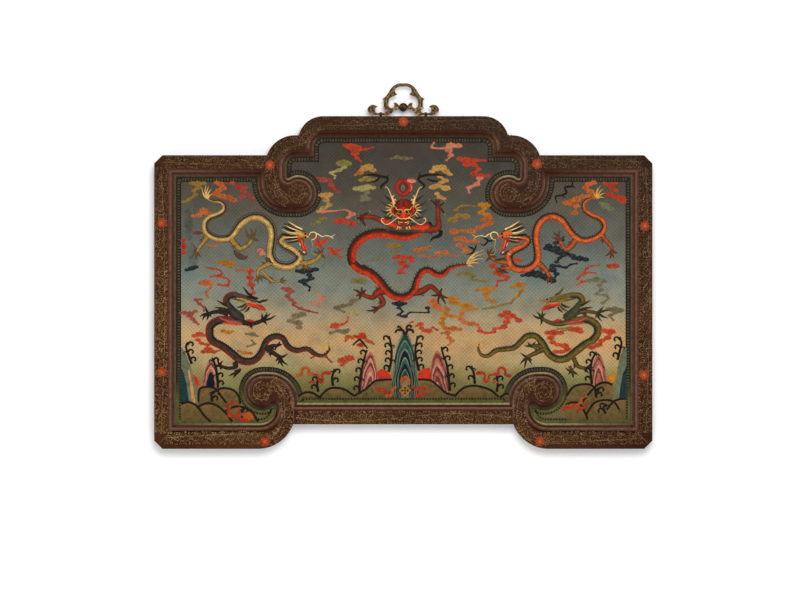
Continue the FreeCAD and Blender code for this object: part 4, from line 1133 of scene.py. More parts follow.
RED_SKULL = [
    (["soot", "dark_red", "brick", "brick", "dark_red", "soot"],
     [(403.8, 198.8, 2.6), (403.8, 201, 7.2), (403.8, 205, 8.9), (403.8, 209, 10.2), (403.8, 212.5, 10.0),
      (403.8, 216, 8.6), (403.8, 220, 7.4), (403.8, 224, 6.0), (403.8, 226.6, 3.4)]),
    (["brick", "red", "vermilion", "red", "brick"],
     [(403.8, 206.6, 3.0), (403.8, 209, 5.6), (403.8, 212, 6.8), (403.8, 216, 7.0), (403.8, 220, 5.6),
      (403.8, 224, 4.2), (403.8, 226, 2.0)]),
    (["black", "dark_red", "black"], [(403.8, 198.8, 2.4), (403.8, 200.6, 6.6), (403.8, 203, 7.6), (403.8, 205, 6.4),
                                  (403.8, 206.4, 3.0)]),
    (["dark_red", "brick", "dark_red"], [(403.8, 219.6, 5.0), (403.8, 222, 4.8), (403.8, 224.6, 4.0), (403.8, 226.4, 2.0)]),
    (["red", "scarlet", "red"], [(401.2, 215, 1.2), (403.6, 215.6, 2.3), (405.8, 215, 1.2)]),
]
RED_FEATURES = [
    (["soot", "dark_red", "red", "dark_red"], [(393.4, 206.6, 1.4), (392.6, 209.8, 2.6), (393.6, 213, 1.2)]),
    (["amber", "cream", "amber"], [(394.2, 203.8, 1.6), (392.9, 199.4, 1.2), (391.1, 195.4, 0.75), (389.2, 190.6, 0.55),
                                   (387, 187.2, 0.45), (385.6, 186.6, 0.35), (385.2, 187.8, 0.2)]),
    (["gold"], [(393.2, 200.8, 0.8), (395.2, 199.2, 0.6), (396.2, 200.8, 0.3)]),
    (["cream"], [(392, 197, 0.6), (394.2, 194.8, 0.2)]),
    (["gold"], [(395, 206.4, 0.3), (392.2, 206.8, 0.35), (390.6, 209.6, 0.35), (391.4, 212.4, 0.35), (393.6, 214.6, 0.3),
                (396.4, 216.4, 0.2)]),
    (["brick", "flame", "brick"], [(395.6, 212.6, 0.5), (396.6, 215.6, 0.9), (397, 218.4, 0.4)]),
    (["gold"], [(395.6, 206.4, 0.2), (396.8, 209.2, 0.4), (398.8, 209.4, 0.45), (401, 209.2, 0.45), (402.6, 210.6, 0.35),
                (402.8, 212.4, 0.2)]),
    (["gold"], [(397.2, 212.2, 0.15), (398.2, 213.6, 0.25), (399.4, 214.2, 0.15)]),
    (["gold"], [(397.6, 216, 0.2), (398.2, 217.9, 0.45), (399.8, 218.2, 0.5), (401.4, 218.7, 0.55), (403.8, 218.3, 0.5)]),
    (["dark_red"], [(397.6, 219.6, 0.3), (400, 220, 0.8), (403.8, 219.9, 0.8)]),
    (["cream"], [(399.4, 221.6, 0.3), (401, 222.4, 0.4), (402.6, 222, 0.2)]),
    (["gold"], [(398.2, 220.6, 0.2), (398.6, 223, 0.35), (400.4, 224.4, 0.2)]),
    (["cream"], [(398, 226, 0.4), (397.4, 228, 0.35), (396.6, 229.6, 0.1)]),
    (["gold"], [(399.6, 226.4, 0.4), (399.4, 228.4, 0.3), (398.6, 230, 0.1)]),
    (["cream"], [(400.8, 226.8, 0.35), (401, 228.2, 0.25), (400.4, 229.2, 0.1)]),
    (["cream"], [(399.2, 217, 0.3), (395.4, 219, 0.36), (392.2, 221.6, 0.36), (387, 224.4, 0.36), (382.8, 222.6, 0.36),
                 (381.3, 219.6, 0.34), (382.4, 217.8, 0.3), (383.8, 218.8, 0.15)]),
]
RED_HEAD = RED_CHEST + RED_MANE + flipped(RED_MANE) + RED_SKULL + RED_FEATURES + flipped(RED_FEATURES)
# A head in profile, drawn for the left side: mane, horns, skull, open mouth, chin, nose ring and whiskers
FLANK_HEAD = [
    (["black", "bark", "black"], [(300, 230.4, 1.4), (292, 226.6, 1.9), (284, 223.4, 0.4)]),
    (["black"], [(299, 232, 1.2), (291, 229.8, 1.6), (282, 226.6, 0.3)]),
    (["black"], [(298, 235.4, 1.2), (289, 235.4, 1.5), (280.4, 233.6, 0.3)]),
    (["black"], [(298, 237.8, 1.0), (290, 238.6, 1.1), (284, 239.6, 0.3)]),
    (["soot"], [(299, 240, 0.9), (293, 241.8, 0.9), (287, 242.2, 0.2)]),
    (["cream"], [(298, 230.6, 0.5), (291, 228.2, 0.5), (285.4, 225.2, 0.1)]),
    (["straw"], [(297, 234.8, 0.5), (290, 233.9, 0.5), (284, 231.8, 0.1)]),
    (["cream"], [(297, 236.8, 0.6), (291, 237.2, 0.5), (285, 236.8, 0.1)]),
    (["straw"], [(298, 239, 0.5), (293.6, 240.2, 0.5), (289.4, 240.6, 0.1)]),
    (["cream"], [(302, 229.2, 0.7), (294, 225.2, 0.6), (287.3, 220.6, 0.1)]),
    (["cream"], [(298, 233.2, 0.7), (289, 232.2, 0.55), (281.3, 229.1, 0.1)]),
    (["skin", "bright", "skin"], [(294.4, 233.4, 1.4), (298.4, 232.8, 3.0), (302.4, 234.4, 2.6), (305.6, 236.2, 2.0),
                                  (309, 236.6, 1.2)]),
    (["bark"], [(299.6, 230.2, 0.5), (303, 231, 0.8), (305.4, 232.2, 0.4)]),
    (["straw"], [(296, 235.6, 0.4), (299, 236.8, 0.6), (302.6, 237, 0.4)]),
    (["dark_red", "red", "crimson"], [(297.4, 237.6, 1.2), (300.6, 239.6, 2.8), (301.6, 244, 1.9), (303.6, 248.4, 2.0),
                                      (305.8, 251.6, 1.2)]),
    (["scarlet"], [(303.4, 243, 0.4), (305, 246.4, 0.9), (305.8, 249.6, 0.4)]),
    (["cream"], [(299.2, 242.4, 0.2), (299.9, 244.4, 0.35), (300.4, 246.4, 0.15)]),
    (["gold"], [(301.6, 240.4, 0.4), (302.2, 244.6, 0.5), (304.2, 249.2, 0.3)]),
    (["soot", "bark", "soot"], [(298.6, 250.6, 0.8), (302, 253.4, 1.7), (307, 253.6, 0.8)]),
    (["white"], [(303, 251.8, 0.5), (305, 253, 0.4)]),
    (["cream"], [(299.4, 252.6, 0.3), (297.4, 254.2, 0.4), (295.6, 254.8, 0.1)]),
    (["brown", "olive"], [(311.4, 235.2, 1.2), (312.8, 237, 1.7), (313.2, 238.6, 0.8)]),
    (["cream"], [(308.8, 235.2, 0.4), (310.2, 232.8, 0.5), (313, 231.9, 0.5), (315.8, 233, 0.5), (316.2, 236, 0.5),
                 (314.2, 238.8, 0.5), (311.2, 239.8, 0.4)]),
    (["cream"], [(316, 233.2, 0.45), (319, 234.6, 0.5), (322, 236.5, 0.45), (325.8, 235.4, 0.45), (330, 236.4, 0.4),
                 (333.6, 238.6, 0.15)]),
    (["cream"], [(330.6, 236.6, 0.35), (333.6, 235.2, 0.25), (335.2, 234.2, 0.1)]),
    (["pale"], [(311, 240.4, 0.4), (312, 243.4, 0.45), (312.2, 247.6, 0.3), (311, 252, 0.2)]),
    (["pale"], [(311.4, 251.4, 0.2), (313.4, 254.4, 0.4), (317, 254.6, 0.3)]),
]
YELLOW_HEAD = [
    (["slate", "bark", "slate"], [(233.6, 250, 1.0), (238, 255.4, 2.8), (244, 257.6, 2.2), (247.6, 256, 0.6)]),
    (["bark", "slate"], [(265, 258, 1.0), (270, 260.6, 2.2), (274.6, 263, 0.8)]),
    (["wine"], [(192.4, 233.4, 0.6), (197, 232.6, 1.8), (202.6, 233, 0.7)]),
    (["rose"], [(206, 244.6, 0.4), (213, 245.6, 1.2), (222, 244, 0.4)]),
] + cast(FLANK_HEAD, {"skin": "mustard", "bright": "gold"}) + [
    (["crimson", "red"], [(316.6, 235, 0.6), (317.4, 239, 0.9), (318.4, 244, 1.3), (321.6, 248, 0.8)]),
    (["red"], [(319, 244.6, 0.9), (323, 242, 1.2), (327.4, 239.4, 0.3)]),
]
ORANGE_HEAD = cast(flipped(FLANK_HEAD), {"skin": "orange", "bright": "flame"}) + [
    (["crimson"], [(506.4, 237.6, 1.0), (508, 239.2, 1.8), (509.4, 241, 0.8)]),
    (["black"], [(493, 240, 0.6), (490, 241, 1.0), (486.6, 239, 0.9), (482.4, 237.4, 0.3)]),
    (["black"], [(488, 240.4, 0.7), (486.4, 243.4, 0.8), (483.6, 245, 0.7), (480, 243.4, 0.2)]),
    (["black"], [(476.6, 244, 0.4), (475, 249, 0.8), (472, 253, 0.8), (467, 254.6, 0.3)]),
    (["black"], [(468, 246.6, 0.3), (471.6, 247.6, 0.8), (475.4, 250, 0.6)]),
    (["soot", "moss"], [(494.6, 260.4, 0.5), (499.6, 259.8, 1.5), (505.6, 257.6, 0.6)]),
    (["soot", "bark"], [(498, 268, 0.5), (502.6, 271, 1.5), (509, 273, 0.5)]),
]
# A lower head in profile, drawn for the left side: chest, red frills, nape, mane, skull, horn, brow, nose and mouth
LOW_HEAD = [
    (["shade", "hide", "shade"], [(226.6, 302, 2.4), (230, 309, 4.4), (236, 315, 4.6), (243, 319.6, 2.6)]),
    (["pine"], [(234, 308, 0.8), (238, 312.6, 2.0), (243.4, 316, 1.2)]),
    (["dark_red", "rose", "crimson"], [(219, 317.6, 0.7), (227, 320.8, 1.9), (234, 322, 2.2), (242, 324, 1.0)]),
    (["orange"], [(222, 322.6, 0.4), (229, 324, 0.8), (237, 325, 0.4)]),
    (["wine"], [(225, 319, 0.4), (231, 321, 0.7), (236, 320.6, 0.3)]),
    (["crimson"], [(245.6, 320.2, 0.6), (250, 320.6, 1.3), (254, 321.6, 0.4)]),
    (["soot"], [(227, 306.4, 1.2), (221, 303, 1.0), (216, 300.2, 0.2)]),
    (["soot"], [(226.4, 309.6, 1.3), (219.6, 308, 1.0), (213.6, 307.4, 0.2)]),
    (["pale"], [(227, 308, 0.5), (221, 305.6, 0.4), (217, 304, 0.1)]),
    (["soot"], [(246, 303.6, 0.9), (241, 306.8, 1.1), (236, 307, 0.2)]),
    (["pale"], [(245, 302.6, 0.6), (238, 302, 0.8), (231, 300.2, 0.2)]),
    (["moss"], [(245, 301.4, 0.7), (238, 299.6, 1.0), (230.4, 298.6, 0.2)]),
    (["moss"], [(247, 305.6, 0.8), (243.4, 309.2, 1.2), (238.6, 311.2, 0.2)]),
    (["soot"], [(249, 306.8, 0.8), (247.4, 309.8, 1.1), (243.4, 312.6, 0.2)]),
    (["hide", "crown", "hide"], [(233, 293.9, 2.0), (240.4, 295.8, 2.3), (246.4, 298, 2.6), (252, 300, 2.2),
                                 (256.6, 301.2, 1.2)]),
    (["cheek"], [(236, 298, 0.5), (245, 300.6, 1.7), (250, 301.8, 0.8)]),
    (["soot", "brow"], [(252, 295.2, 1.1), (248, 293.8, 1.3), (245.6, 290.8, 0.9), (242.3, 287, 0.2)]),
    (["brow"], [(246.4, 297, 0.7), (250.4, 297.4, 1.9), (255, 298.4, 1.5), (258, 298.2, 0.4)]),
    (["nose"], [(256.6, 301.4, 0.8), (259.4, 302.2, 1.1), (262, 300.8, 1.0), (265, 300.6, 0.9), (268, 299.2, 0.2)]),
    (["crimson", "red", "orange"], [(247, 304.4, 1.2), (250.6, 304.4, 2.1), (255.6, 305.4, 1.6), (261, 307.4, 2.3),
                                    (265.2, 310.6, 1.0)]),
    (["pink"], [(248.6, 302.8, 0.3), (252, 303.2, 0.5), (256, 304.4, 0.3)]),
    (["soot"], [(251, 307, 0.3), (255.4, 307.6, 0.5), (259.4, 310, 0.3)]),
]
DARK_HEAD = cast(LOW_HEAD, {
    "shade": "black", "hide": "slate", "crown": "bark", "cheek": "pale", "brow": "black", "nose": "black",
})
OLIVE_HEAD = cast(flipped(LOW_HEAD), {
    "shade": "pine", "hide": "moss", "crown": "olive", "cheek": "mustard", "brow": "olive", "nose": "mustard",
})

DRAGONS = [
    Dragon(
        "red_dragon",
        [(426, 227.5), (414.2, 234.8), (402.7, 236.8), (391, 234.6), (379.8, 233), (368.3, 235), (358.2, 241.3),
         (352.4, 250.9), (352, 261), (358.7, 268.6), (370.2, 273.4), (379.8, 282), (387.4, 291.4), (396, 296.8),
         (406.6, 296.8), (414.2, 290.1), (417.1, 280.6), (421.9, 272), (428.6, 270), (435.3, 273.9), (442.9, 274.6),
         (449.6, 268.4), (460, 265.4), (468, 265)],
        4.4, ("soot", "soot", "dark_red", "brick", "vermilion", "vermilion", "vermilion", "red"), "soot", 2.2, (),
        [(0, -1), (0.36, -1), (0.44, 1), (1, 1)],
        [
            ([(396, 226, 3.0), (384, 221.4, 2.3), (373, 217, 1.9), (362, 216.6, 1.5)],
             [(358.6, 214), (359, 221.4), (369.6, 211.6), (366.2, 226.6), (355.6, 218)]),
            ([(424, 228, 3.4), (432, 229, 2.8), (438.4, 227, 2.6), (438, 217, 1.9), (438, 206.4, 1.7)],
             [(429.6, 199.4), (435, 198.4), (440.4, 198.6), (445, 201.2), (444.6, 214)]),
            ([(388, 290, 3.0), (378, 292.4, 3.0), (372, 297.6, 1.9), (361.6, 294.4, 1.5)],
             [(352.6, 289.6), (355.4, 296.6), (361.4, 286.4), (366.6, 289), (359.6, 300)]),
            ([(380, 296, 2.0), (383.6, 303, 1.9), (378, 308, 1.2)], [(366, 310.4), (373, 314), (371, 306)]),
            ([(413, 293, 2.4), (422, 291, 2.6), (431, 286.6, 2.0), (440, 294.4, 1.4)],
             [(442.4, 287.6), (446.4, 304.6), (438.6, 304.6), (430.6, 295), (449, 298)]),
        ],
        [("cream", (467, 265.6), [(474, 254), (479, 250.6), (484, 249.6), (486.6, 253), (484, 258.4), (479.6, 263),
                                  (474, 267.6)])],
        RED_HEAD,
    ),
    Dragon(
        "yellow_dragon",
        [(292, 249), (284.8, 245.6), (280.6, 241), (284, 237.4), (291, 238)][::-1]
        + [(300, 256.6), (295.6, 264), (286.5, 267.2), (275, 264), (269.4, 254.4), (270.4, 244), (271.3, 234.6),
           (269.4, 226), (263, 219.4), (255, 217.2), (247, 219.4), (240.3, 224.6), (235.2, 231.6), (229.3, 238),
           (222, 239.4), (213.2, 238), (206.5, 233.6), (203.8, 228), (204.5, 221.4), (209.5, 216.4), (216.8, 213.8),
           (222.4, 210.2), (223.2, 205.4), (219, 201.8), (213, 201.4), (207.4, 199)],
        3.7, ("soot", "moss", "straw", "gold", "cream", "gold", "ochre", "straw", "moss"), "soot", 0.6, (("wine", 1.45),),
        [(0, -1), (1, -1)],
        [
            ([(207, 236, 2.2), (203, 242, 1.7), (198.6, 247.6, 1.4), (196.6, 252, 1.2)],
             [(193.6, 245), (199.6, 256.6), (195.4, 259), (191.6, 256)]),
            ([(230, 238, 2.4), (236, 245, 2.2), (240, 248.6, 1.9), (247, 245, 1.6), (251.6, 239.6, 1.2)],
             [(245, 228.4), (250, 228), (256, 228.6), (258, 240.6), (246, 236)]),
            ([(272, 262, 2.2), (264, 266, 1.9), (258, 270, 1.4), (257.6, 276, 1.1)],
             [(254, 281), (258, 284), (262, 281.6), (267, 280)]),
            ([(297, 262, 2.2), (307, 262.6, 2.0), (316, 259.6, 1.8), (320.6, 254, 1.4)],
             [(314, 250.6), (317.6, 248.4), (323.8, 247.6), (325, 258)]),
            ([(303, 262, 1.6), (306, 265, 1.4)], [(301.4, 268.6), (304.6, 270.4), (307.6, 270.6), (311, 269.4)]),
            ([(262, 271, 1.2), (272, 281, 1.0), (280, 280.6, 0.9)], [(283, 277), (286, 280), (284.6, 283)]),
        ],
        [("cream", (207.6, 198.4), [(201.4, 187), (205.6, 184), (208.4, 185.6), (211.4, 188), (212.6, 193.4),
                                    (202, 193)])],
        YELLOW_HEAD,
    ),
    Dragon(
        "orange_dragon",
        [(509, 254), (516, 249.4), (525, 244.8), (528.4, 239.4), (523, 237.4), (516, 240)][::-1]
        + [(509.6, 260), (513, 267), (521, 269.6), (531, 267.6), (537.8, 259.6), (537.6, 249), (536, 238), (537.6, 227.6),
           (543, 219.6), (552.6, 216.2), (562, 219.6), (568.4, 228), (575, 236), (584, 240.4), (594, 238.4),
           (602.6, 232.4), (605, 225), (601, 218.6), (592, 214.6), (585, 209.6), (584.4, 203), (590, 198.6),
           (598, 198)],
        3.6, ("soot", "bark", "orange", "ember", "ember", "orange", "brown"), "soot", 1.4, (),
        [(0, 1), (1, 1)],
        [
            ([(601, 233, 2.2), (606, 239.6, 1.8), (611.6, 246, 1.5), (612.4, 249.6, 1.2)],
             [(606, 255.6), (610, 258.6), (614.4, 257.6), (617.6, 253)]),
            ([(577, 238, 2.4), (572, 246, 2.2), (566, 249, 1.8), (560.4, 241, 1.3)],
             [(552.6, 237.4), (553.6, 232), (560, 230.6), (565.6, 236)]),
            ([(537, 262, 2.4), (544.6, 268, 2.0), (550, 276.6, 1.4)], [(544.6, 280.6), (548, 284), (552, 284), (556.6, 279)]),
            ([(512, 264, 2.2), (504, 262, 1.8), (496, 260.4, 1.6), (490.6, 257, 1.3)],
             [(487.6, 248.6), (492, 248), (496, 251), (497, 256), (486, 262)]),
            ([(510, 268, 1.6), (502, 268.6, 1.4), (497, 269.6, 0.9)], [(499, 273), (503, 273.6), (507, 272.6)]),
        ],
        [("gold", (598, 198), [(592.6, 196), (594, 190.6), (598.4, 187), (601.6, 184.4), (604.4, 188), (606.4, 192.6),
                               (605, 197.6)])],
        ORANGE_HEAD,
    ),
    Dragon(
        "dark_dragon",
        [(240, 297), (232.4, 294.8), (226.4, 298.4), (226.6, 305), (231.4, 311), (238, 315.6), (241, 320), (235, 321.6),
         (226, 320), (217, 321), (210.4, 326), (209.4, 334), (212.4, 341), (221.4, 345.6), (231, 352.6), (239, 359.4),
         (247, 361.6), (255, 359.4), (261.4, 351.6), (266, 341), (274, 336.2), (282.4, 338), (288, 346.4), (296, 350.4),
         (307, 348.8), (315, 354), (323, 355.6), (329, 350), (328.6, 346)],
        3.5, ("black", "navy", "slate", "bark", "slate", "wine", "brick"), "black", 0.8, (("brick", -1.1),),
        [(0, 1), (1, 1)],
        [
            ([(228, 314, 2.0), (218, 311.6, 1.6), (208, 313.6, 1.3)],
             [(204.6, 306.6), (199.6, 316.6), (202, 320), (206.6, 320), (210.6, 317)]),
            ([(240, 322, 2.2), (252, 323.6, 1.8), (262, 320.6, 1.4)],
             [(261.6, 313.6), (266.6, 312.6), (270, 313.6), (275, 315.6), (266.4, 324.6)]),
            ([(264, 347, 2.2), (272, 352.4, 1.8), (280, 357.4, 1.4)],
             [(287, 354), (287.6, 365), (283, 366.6), (277.6, 364.6), (275.6, 361.6)]),
            ([(265, 349, 1.8), (272, 346, 1.5), (277, 345.6, 1.0)], [(279.6, 341.4), (282, 344), (275, 350)]),
            ([(234, 362, 1.8), (236, 366.6, 1.5), (228, 368.4, 1.3), (219.6, 366, 1.2)],
             [(213, 364.6), (217, 359.6), (222.6, 361)]),
            ([(240, 369, 0.9), (236.6, 373, 1.0)], [(229, 376), (233, 378), (240.6, 369)]),
        ],
        [("straw", (330, 347.6), [(316, 341.4), (323, 340.7), (328.3, 341.4)])],
        DARK_HEAD,
    ),
    Dragon(
        "olive_dragon",
        [(569, 296), (576, 295.4), (581, 297), (582.4, 302), (579, 307.6), (573.6, 311.6), (571.6, 318), (578, 320.6),
         (587, 319.8), (595, 323.4), (598.4, 330.4), (594, 339), (585, 344.4), (575.6, 351.6), (567, 358), (557.6, 359),
         (549, 353.4), (543, 343), (536, 336), (527.6, 335.8), (521, 341.6), (514, 347.6), (505, 349), (496, 350.4),
         (488.6, 355.6), (481.6, 355), (478.4, 348), (479.6, 344)],
        3.4, ("soot", "pine", "moss", "olive", "mustard", "olive", "moss"), "soot", 0.7, (("brown", -1.1),),
        [(0, -1), (1, -1)],
        [
            ([(575, 313, 2.2), (586, 311.4, 1.6), (598, 313, 1.2)],
             [(604, 306.6), (611, 310), (608, 318), (602, 321), (596, 318)]),
            ([(571, 321, 2.2), (560, 324, 1.9), (550, 322.6, 1.6), (542, 318.4, 1.2)],
             [(533, 314.6), (537, 312), (543, 311.6), (546, 313.6), (541, 325)]),
            ([(545, 349, 2.2), (537, 352.6, 1.8), (527, 357.4, 1.4)],
             [(521, 353.4), (520.4, 364.6), (524.6, 368), (531.6, 364), (532, 360.6)]),
            ([(544, 348, 1.8), (538, 346, 1.6), (532, 346.4, 1.1)], [(525, 346), (528, 342.6), (536, 342)]),
            ([(574, 358, 1.8), (578, 366, 1.6), (586, 368.6, 1.3)], [(592, 362), (594, 368), (589, 373)]),
            ([(570, 366, 1.2), (573, 372, 1.2)], [(566, 368), (574, 378), (578, 375)]),
        ],
        [("straw", (478, 346.8), [(479.4, 340.7), (487.9, 341.4), (490.9, 344.5)])],
        OLIVE_HEAD,
    ),
]
EYES = [
    (400.4, 211.8, 1.0), (406.8, 211.8, 1.0), (305.2, 237.2, 0.8), (305.2, 233.6, 0.8), (502.1, 233.6, 0.8),
    (502.7, 237, 0.8), (251.6, 300.6, 0.7), (547.4, 299.4, 0.8), (550.8, 301.4, 0.6),
]


def side_at(sides, share):
    """The ridge's side at a share of the body, from (share, side) pairs."""
    for (low, first), (high, second) in zip(sides, sides[1:]):
        if share <= high:
            return first + (second - first) * (share - low) / (high - low)
    return sides[-1][1]


def body_path(dragon):
    """Spine with its half width at each point: full from the shoulders to past the middle, then tapering."""
    spine = smooth([spot(x, y) for x, y in dragon.spine], 1.1 * PIXEL)
    track = Track(spine)
    path = []
    for (x, z), reached in zip(spine, track.reached):
        share = reached / track.length
        girth = min(1.0, 0.72 + 1.4 * share) * (1.0 if share < 0.5 else 1.0 - 0.5 * (share - 0.5) / 0.5)
        girth *= min(1.0, 0.3 + 7.0 * (1 - share))
        path.append((x, z, max(girth, 0.2) * dragon.girth * PIXEL))
    return path, track


def dragon_body(relief, dragon):
    """The long body, its dark ridge and the spikes along the ridge."""
    path, track = body_path(dragon)
    coat = [TINTS[tint] for tint in dragon.coat]
    sides = [side_at(dragon.ridge_sides, reached / track.length) > 0 for reached in track.reached]
    turns = [0] + [k for k in range(1, len(sides)) if sides[k] != sides[k - 1]] + [len(sides)]
    for first, last in zip(turns, turns[1:]):
        run = path[max(0, first - 2):last]
        relief.stroke(run, 2.0 * LAYER, coat if sides[first] else coat[::-1], crown=3 * CROWN)
    ridge = []
    spikes = []
    fringes = [[] for line in dragon.fringe]
    pitch = (1.9 + 0.5 * dragon.spike) * PIXEL
    reached_next = 4 * PIXEL
    for k, ((x, z, half), reached) in enumerate(zip(path, track.reached)):
        before, after = path[max(k - 1, 0)], path[min(k + 1, len(path) - 1)]
        dx, dz = after[0] - before[0], after[1] - before[1]
        length = math.hypot(dx, dz) or 1.0
        normal = (-dz / length, dx / length)
        side = side_at(dragon.ridge_sides, reached / track.length)
        offset = side * half * 0.80
        ridge.append((x + normal[0] * offset, z + normal[1] * offset, half * (0.16 + 0.05 * dragon.spike)))
        for line, (tint, reach) in zip(fringes, dragon.fringe):
            out = side * half * reach
            line.append((x + normal[0] * out, z + normal[1] * out, 0.42 * PIXEL))
        if reached >= reached_next and abs(side) > 0.7:
            reached_next += pitch
            root = side * half * 0.95
            tip = side * (half * 1.05 + dragon.spike * PIXEL)
            lean = 0.5 * PIXEL
            spikes.append([
                (x + normal[0] * root, z + normal[1] * root, 0.62 * PIXEL),
                (x + normal[0] * tip + dx / length * lean, z + normal[1] * tip + dz / length * lean, 0.1 * PIXEL),
            ])
    relief.stroke(ridge, 4.2 * LAYER, [TINTS[dragon.ridge]])
    for line, (tint, reach) in zip(fringes, dragon.fringe):
        relief.stroke(line, 1.4 * LAYER, [TINTS[tint]])
    for spike in spikes:
        relief.stroke(spike, 1.0 * LAYER, [TINTS[dragon.ridge]])


LIMB_SHADES = {"yellow_dragon": 0.12, "red_dragon": 0.40, "dark_dragon": 0.45}


def dragon_limbs(relief, dragon):
    """Legs in the coat's colours, with spread claws and flame tufts at the joints."""
    edge, plain, light = (TINTS[tint] for tint in (dragon.ridge, dragon.coat[-4], dragon.coat[-3]))
    shade = LIMB_SHADES.get(dragon.name, 0.26)
    plain, light = mixed(plain, edge, shade + 0.22), mixed(light, edge, shade)
    for limb, claws in dragon.limbs:
        layer = 3.6 + random.uniform(0.0, 0.6)
        brush(relief, layer, [edge, plain, light, plain, edge], [(x, y, 1.3 * half) for x, y, half in limb])
        joint_x, joint_y, joint_half = limb[1]
        for lean in (-1.0, -0.5, 0.0, 0.5, 1.0):
            turn = math.atan2(joint_y - limb[0][1], joint_x - limb[0][0]) + math.pi * 0.75 + lean
            reach = joint_half + random.uniform(2.6, 4.4)
            tip = (joint_x + reach * math.cos(turn), joint_y + reach * math.sin(turn), 0.15)
            mid = (joint_x + 0.6 * reach * math.cos(turn + 0.3), joint_y + 0.6 * reach * math.sin(turn + 0.3), 0.8)
            brush(relief, layer - 0.4, [edge, mixed(edge, plain, 0.45), edge], [(joint_x, joint_y, 1.1), mid, tip])
        x, y, half = limb[-1]
        dab(relief, layer + 0.3, [plain, edge], x, y, half * 1.5)
        for tip_x, tip_y in claws:
            bend = random.uniform(-0.12, 0.12)
            mid_x = x + 0.55 * (tip_x - x) - bend * (tip_y - y)
            mid_y = y + 0.55 * (tip_y - y) + bend * (tip_x - x)
            brush(relief, layer + 0.5, [edge, mixed(edge, plain, 0.5), edge],
                  [(x, y, 1.3), (mid_x, mid_y, 1.05), (tip_x, tip_y, 0.3)])
            dab(relief, layer + 0.9, ["cream" if dragon.name == "red_dragon" else "bark"], tip_x, tip_y, 0.45)


def dragons():
    """Each dragon is a piece: body and legs, then head, eyes and tail tuft on top."""
    for dragon in DRAGONS:
        body = Relief(FIELD_Y)
        dragon_body(body, dragon)
        dragon_limbs(body, dragon)
        body.build(dragon.name, SCALED_PAINT, "lacquer_field")
        detail = Relief(FIELD_Y)
        for k, (tints, pixels) in enumerate(dragon.head):
            brush(detail, 6.6 + 0.12 * k, tints, pixels, 0.6)
        for tint, (x, y), tips in dragon.tufts:
            for tip_x, tip_y in tips:
                mid = ((x + tip_x) / 2 + 0.12 * (tip_y - y), (y + tip_y) / 2 - 0.12 * (tip_x - x), 0.6)
                brush(detail, 3.4 + random.uniform(0, 0.4), [tint, "gold", "mustard"], [(x, y, 0.9), mid, (tip_x, tip_y, 0.12)])
        detail.build(dragon.name + "_head", PAINT, "lacquer_field")
    eyes = Relief(FIELD_Y)
    for x, y, radius in EYES:
        dab(eyes, 14.6, ["gold", "amber"], x, y, radius * 1.9)
        dab(eyes, 18.6, [srgb(6, 4, 3)], x, y, radius * 1.45)
    eyes.build("dragon_eyes", PAINT, "lacquer_field")


# Flaming pearl and the dark tendrils over the middle dragon

TENDRILS = [
    [(381.4, 189.4, 0.3), (381.6, 185.6, 0.8), (386.6, 181.4, 0.8), (387, 177.6, 0.9), (380, 175.8, 0.9), (372, 174.4, 0.8),
     (362.4, 175.8, 0.2)],
    [(387, 178, 0.8), (388.6, 174.2, 0.2)], [(380, 176, 0.7), (376, 180.4, 0.8), (368, 182.2, 0.2)],
    [(421, 189.4, 0.3), (424.4, 185.4, 0.8), (419.4, 180.6, 0.8), (418.8, 177.4, 0.9), (426.6, 174.6, 0.9),
     (436.4, 174.4, 0.8), (446, 175.8, 0.2)],
    [(418.8, 178, 0.8), (420.4, 171.4, 0.2)], [(427.4, 178.8, 0.5), (433.4, 180.6, 0.8), (438.4, 180.8, 0.2)],
    [(573, 181, 0.4), (572, 186, 0.8), (565.6, 187, 0.7), (566.6, 192.6, 0.8), (562, 195, 0.7), (556, 196.5, 0.7),
     (557.5, 203, 0.3)],
    [(572, 186, 0.7), (576, 187.6, 0.3)], [(562, 195, 0.6), (566, 197.6, 0.3)],
    [(427, 224, 0.9), (430, 223, 1.0), (433, 226, 0.3)], [(441, 230, 1.4), (440, 235, 1.4), (433, 238, 0.8), (430, 241.6, 0.2)],
    [(352.6, 345.4, 0.5), (359.3, 340, 0.7), (364.5, 345, 0.7), (367.6, 348.6, 0.5)],
]


def pearl():
    """Red pearl with a grey heart over the middle dragon's brow, and branching tendrils beside it."""
    relief = Relief(FIELD_Y)
    ring = [
        (403.1 + 6.2 * math.cos(math.radians(a)), 187.2 - 6.6 * math.sin(math.radians(a)), 2.6)
        for a in range(0, 375, 15)
    ]
    brush(relief, 1.6, ["dark_red", "brick", "crimson", "brick", "dark_red"], ring)
    dab(relief, 3.6, ["sage", "sage", "slate", "dark_red"], 402.9, 187.6, 3.3, 5.4)
    brush(relief, 3.6, ["rose", "pink", "pink"], [(407.4, 179.6, 1.2), (411, 180.6, 2.3), (414.4, 180.6, 1.8), (416, 181.6, 0.4)])
    brush(relief, 2.8, ["crimson", "pink"], [(410.6, 183.6, 1.2), (412, 187.6, 1.0), (410, 191.4, 0.4)])
    for path in TENDRILS:
        brush(relief, 3.0, ["black"], [(x, y, 1.4 * half) for x, y, half in path], 0.6)
    relief.build("pearl_and_tendrils", PAINT, "lacquer_field")


# Rocks, hills and foam along the foot of the picture

# A rock's half width by its height, as shares of the base and of the rise
PEAK_SHARES = [(0.0, 1.0), (0.20, 0.95), (0.42, 0.86), (0.62, 0.73), (0.80, 0.52), (0.92, 0.30), (0.985, 0.10)]


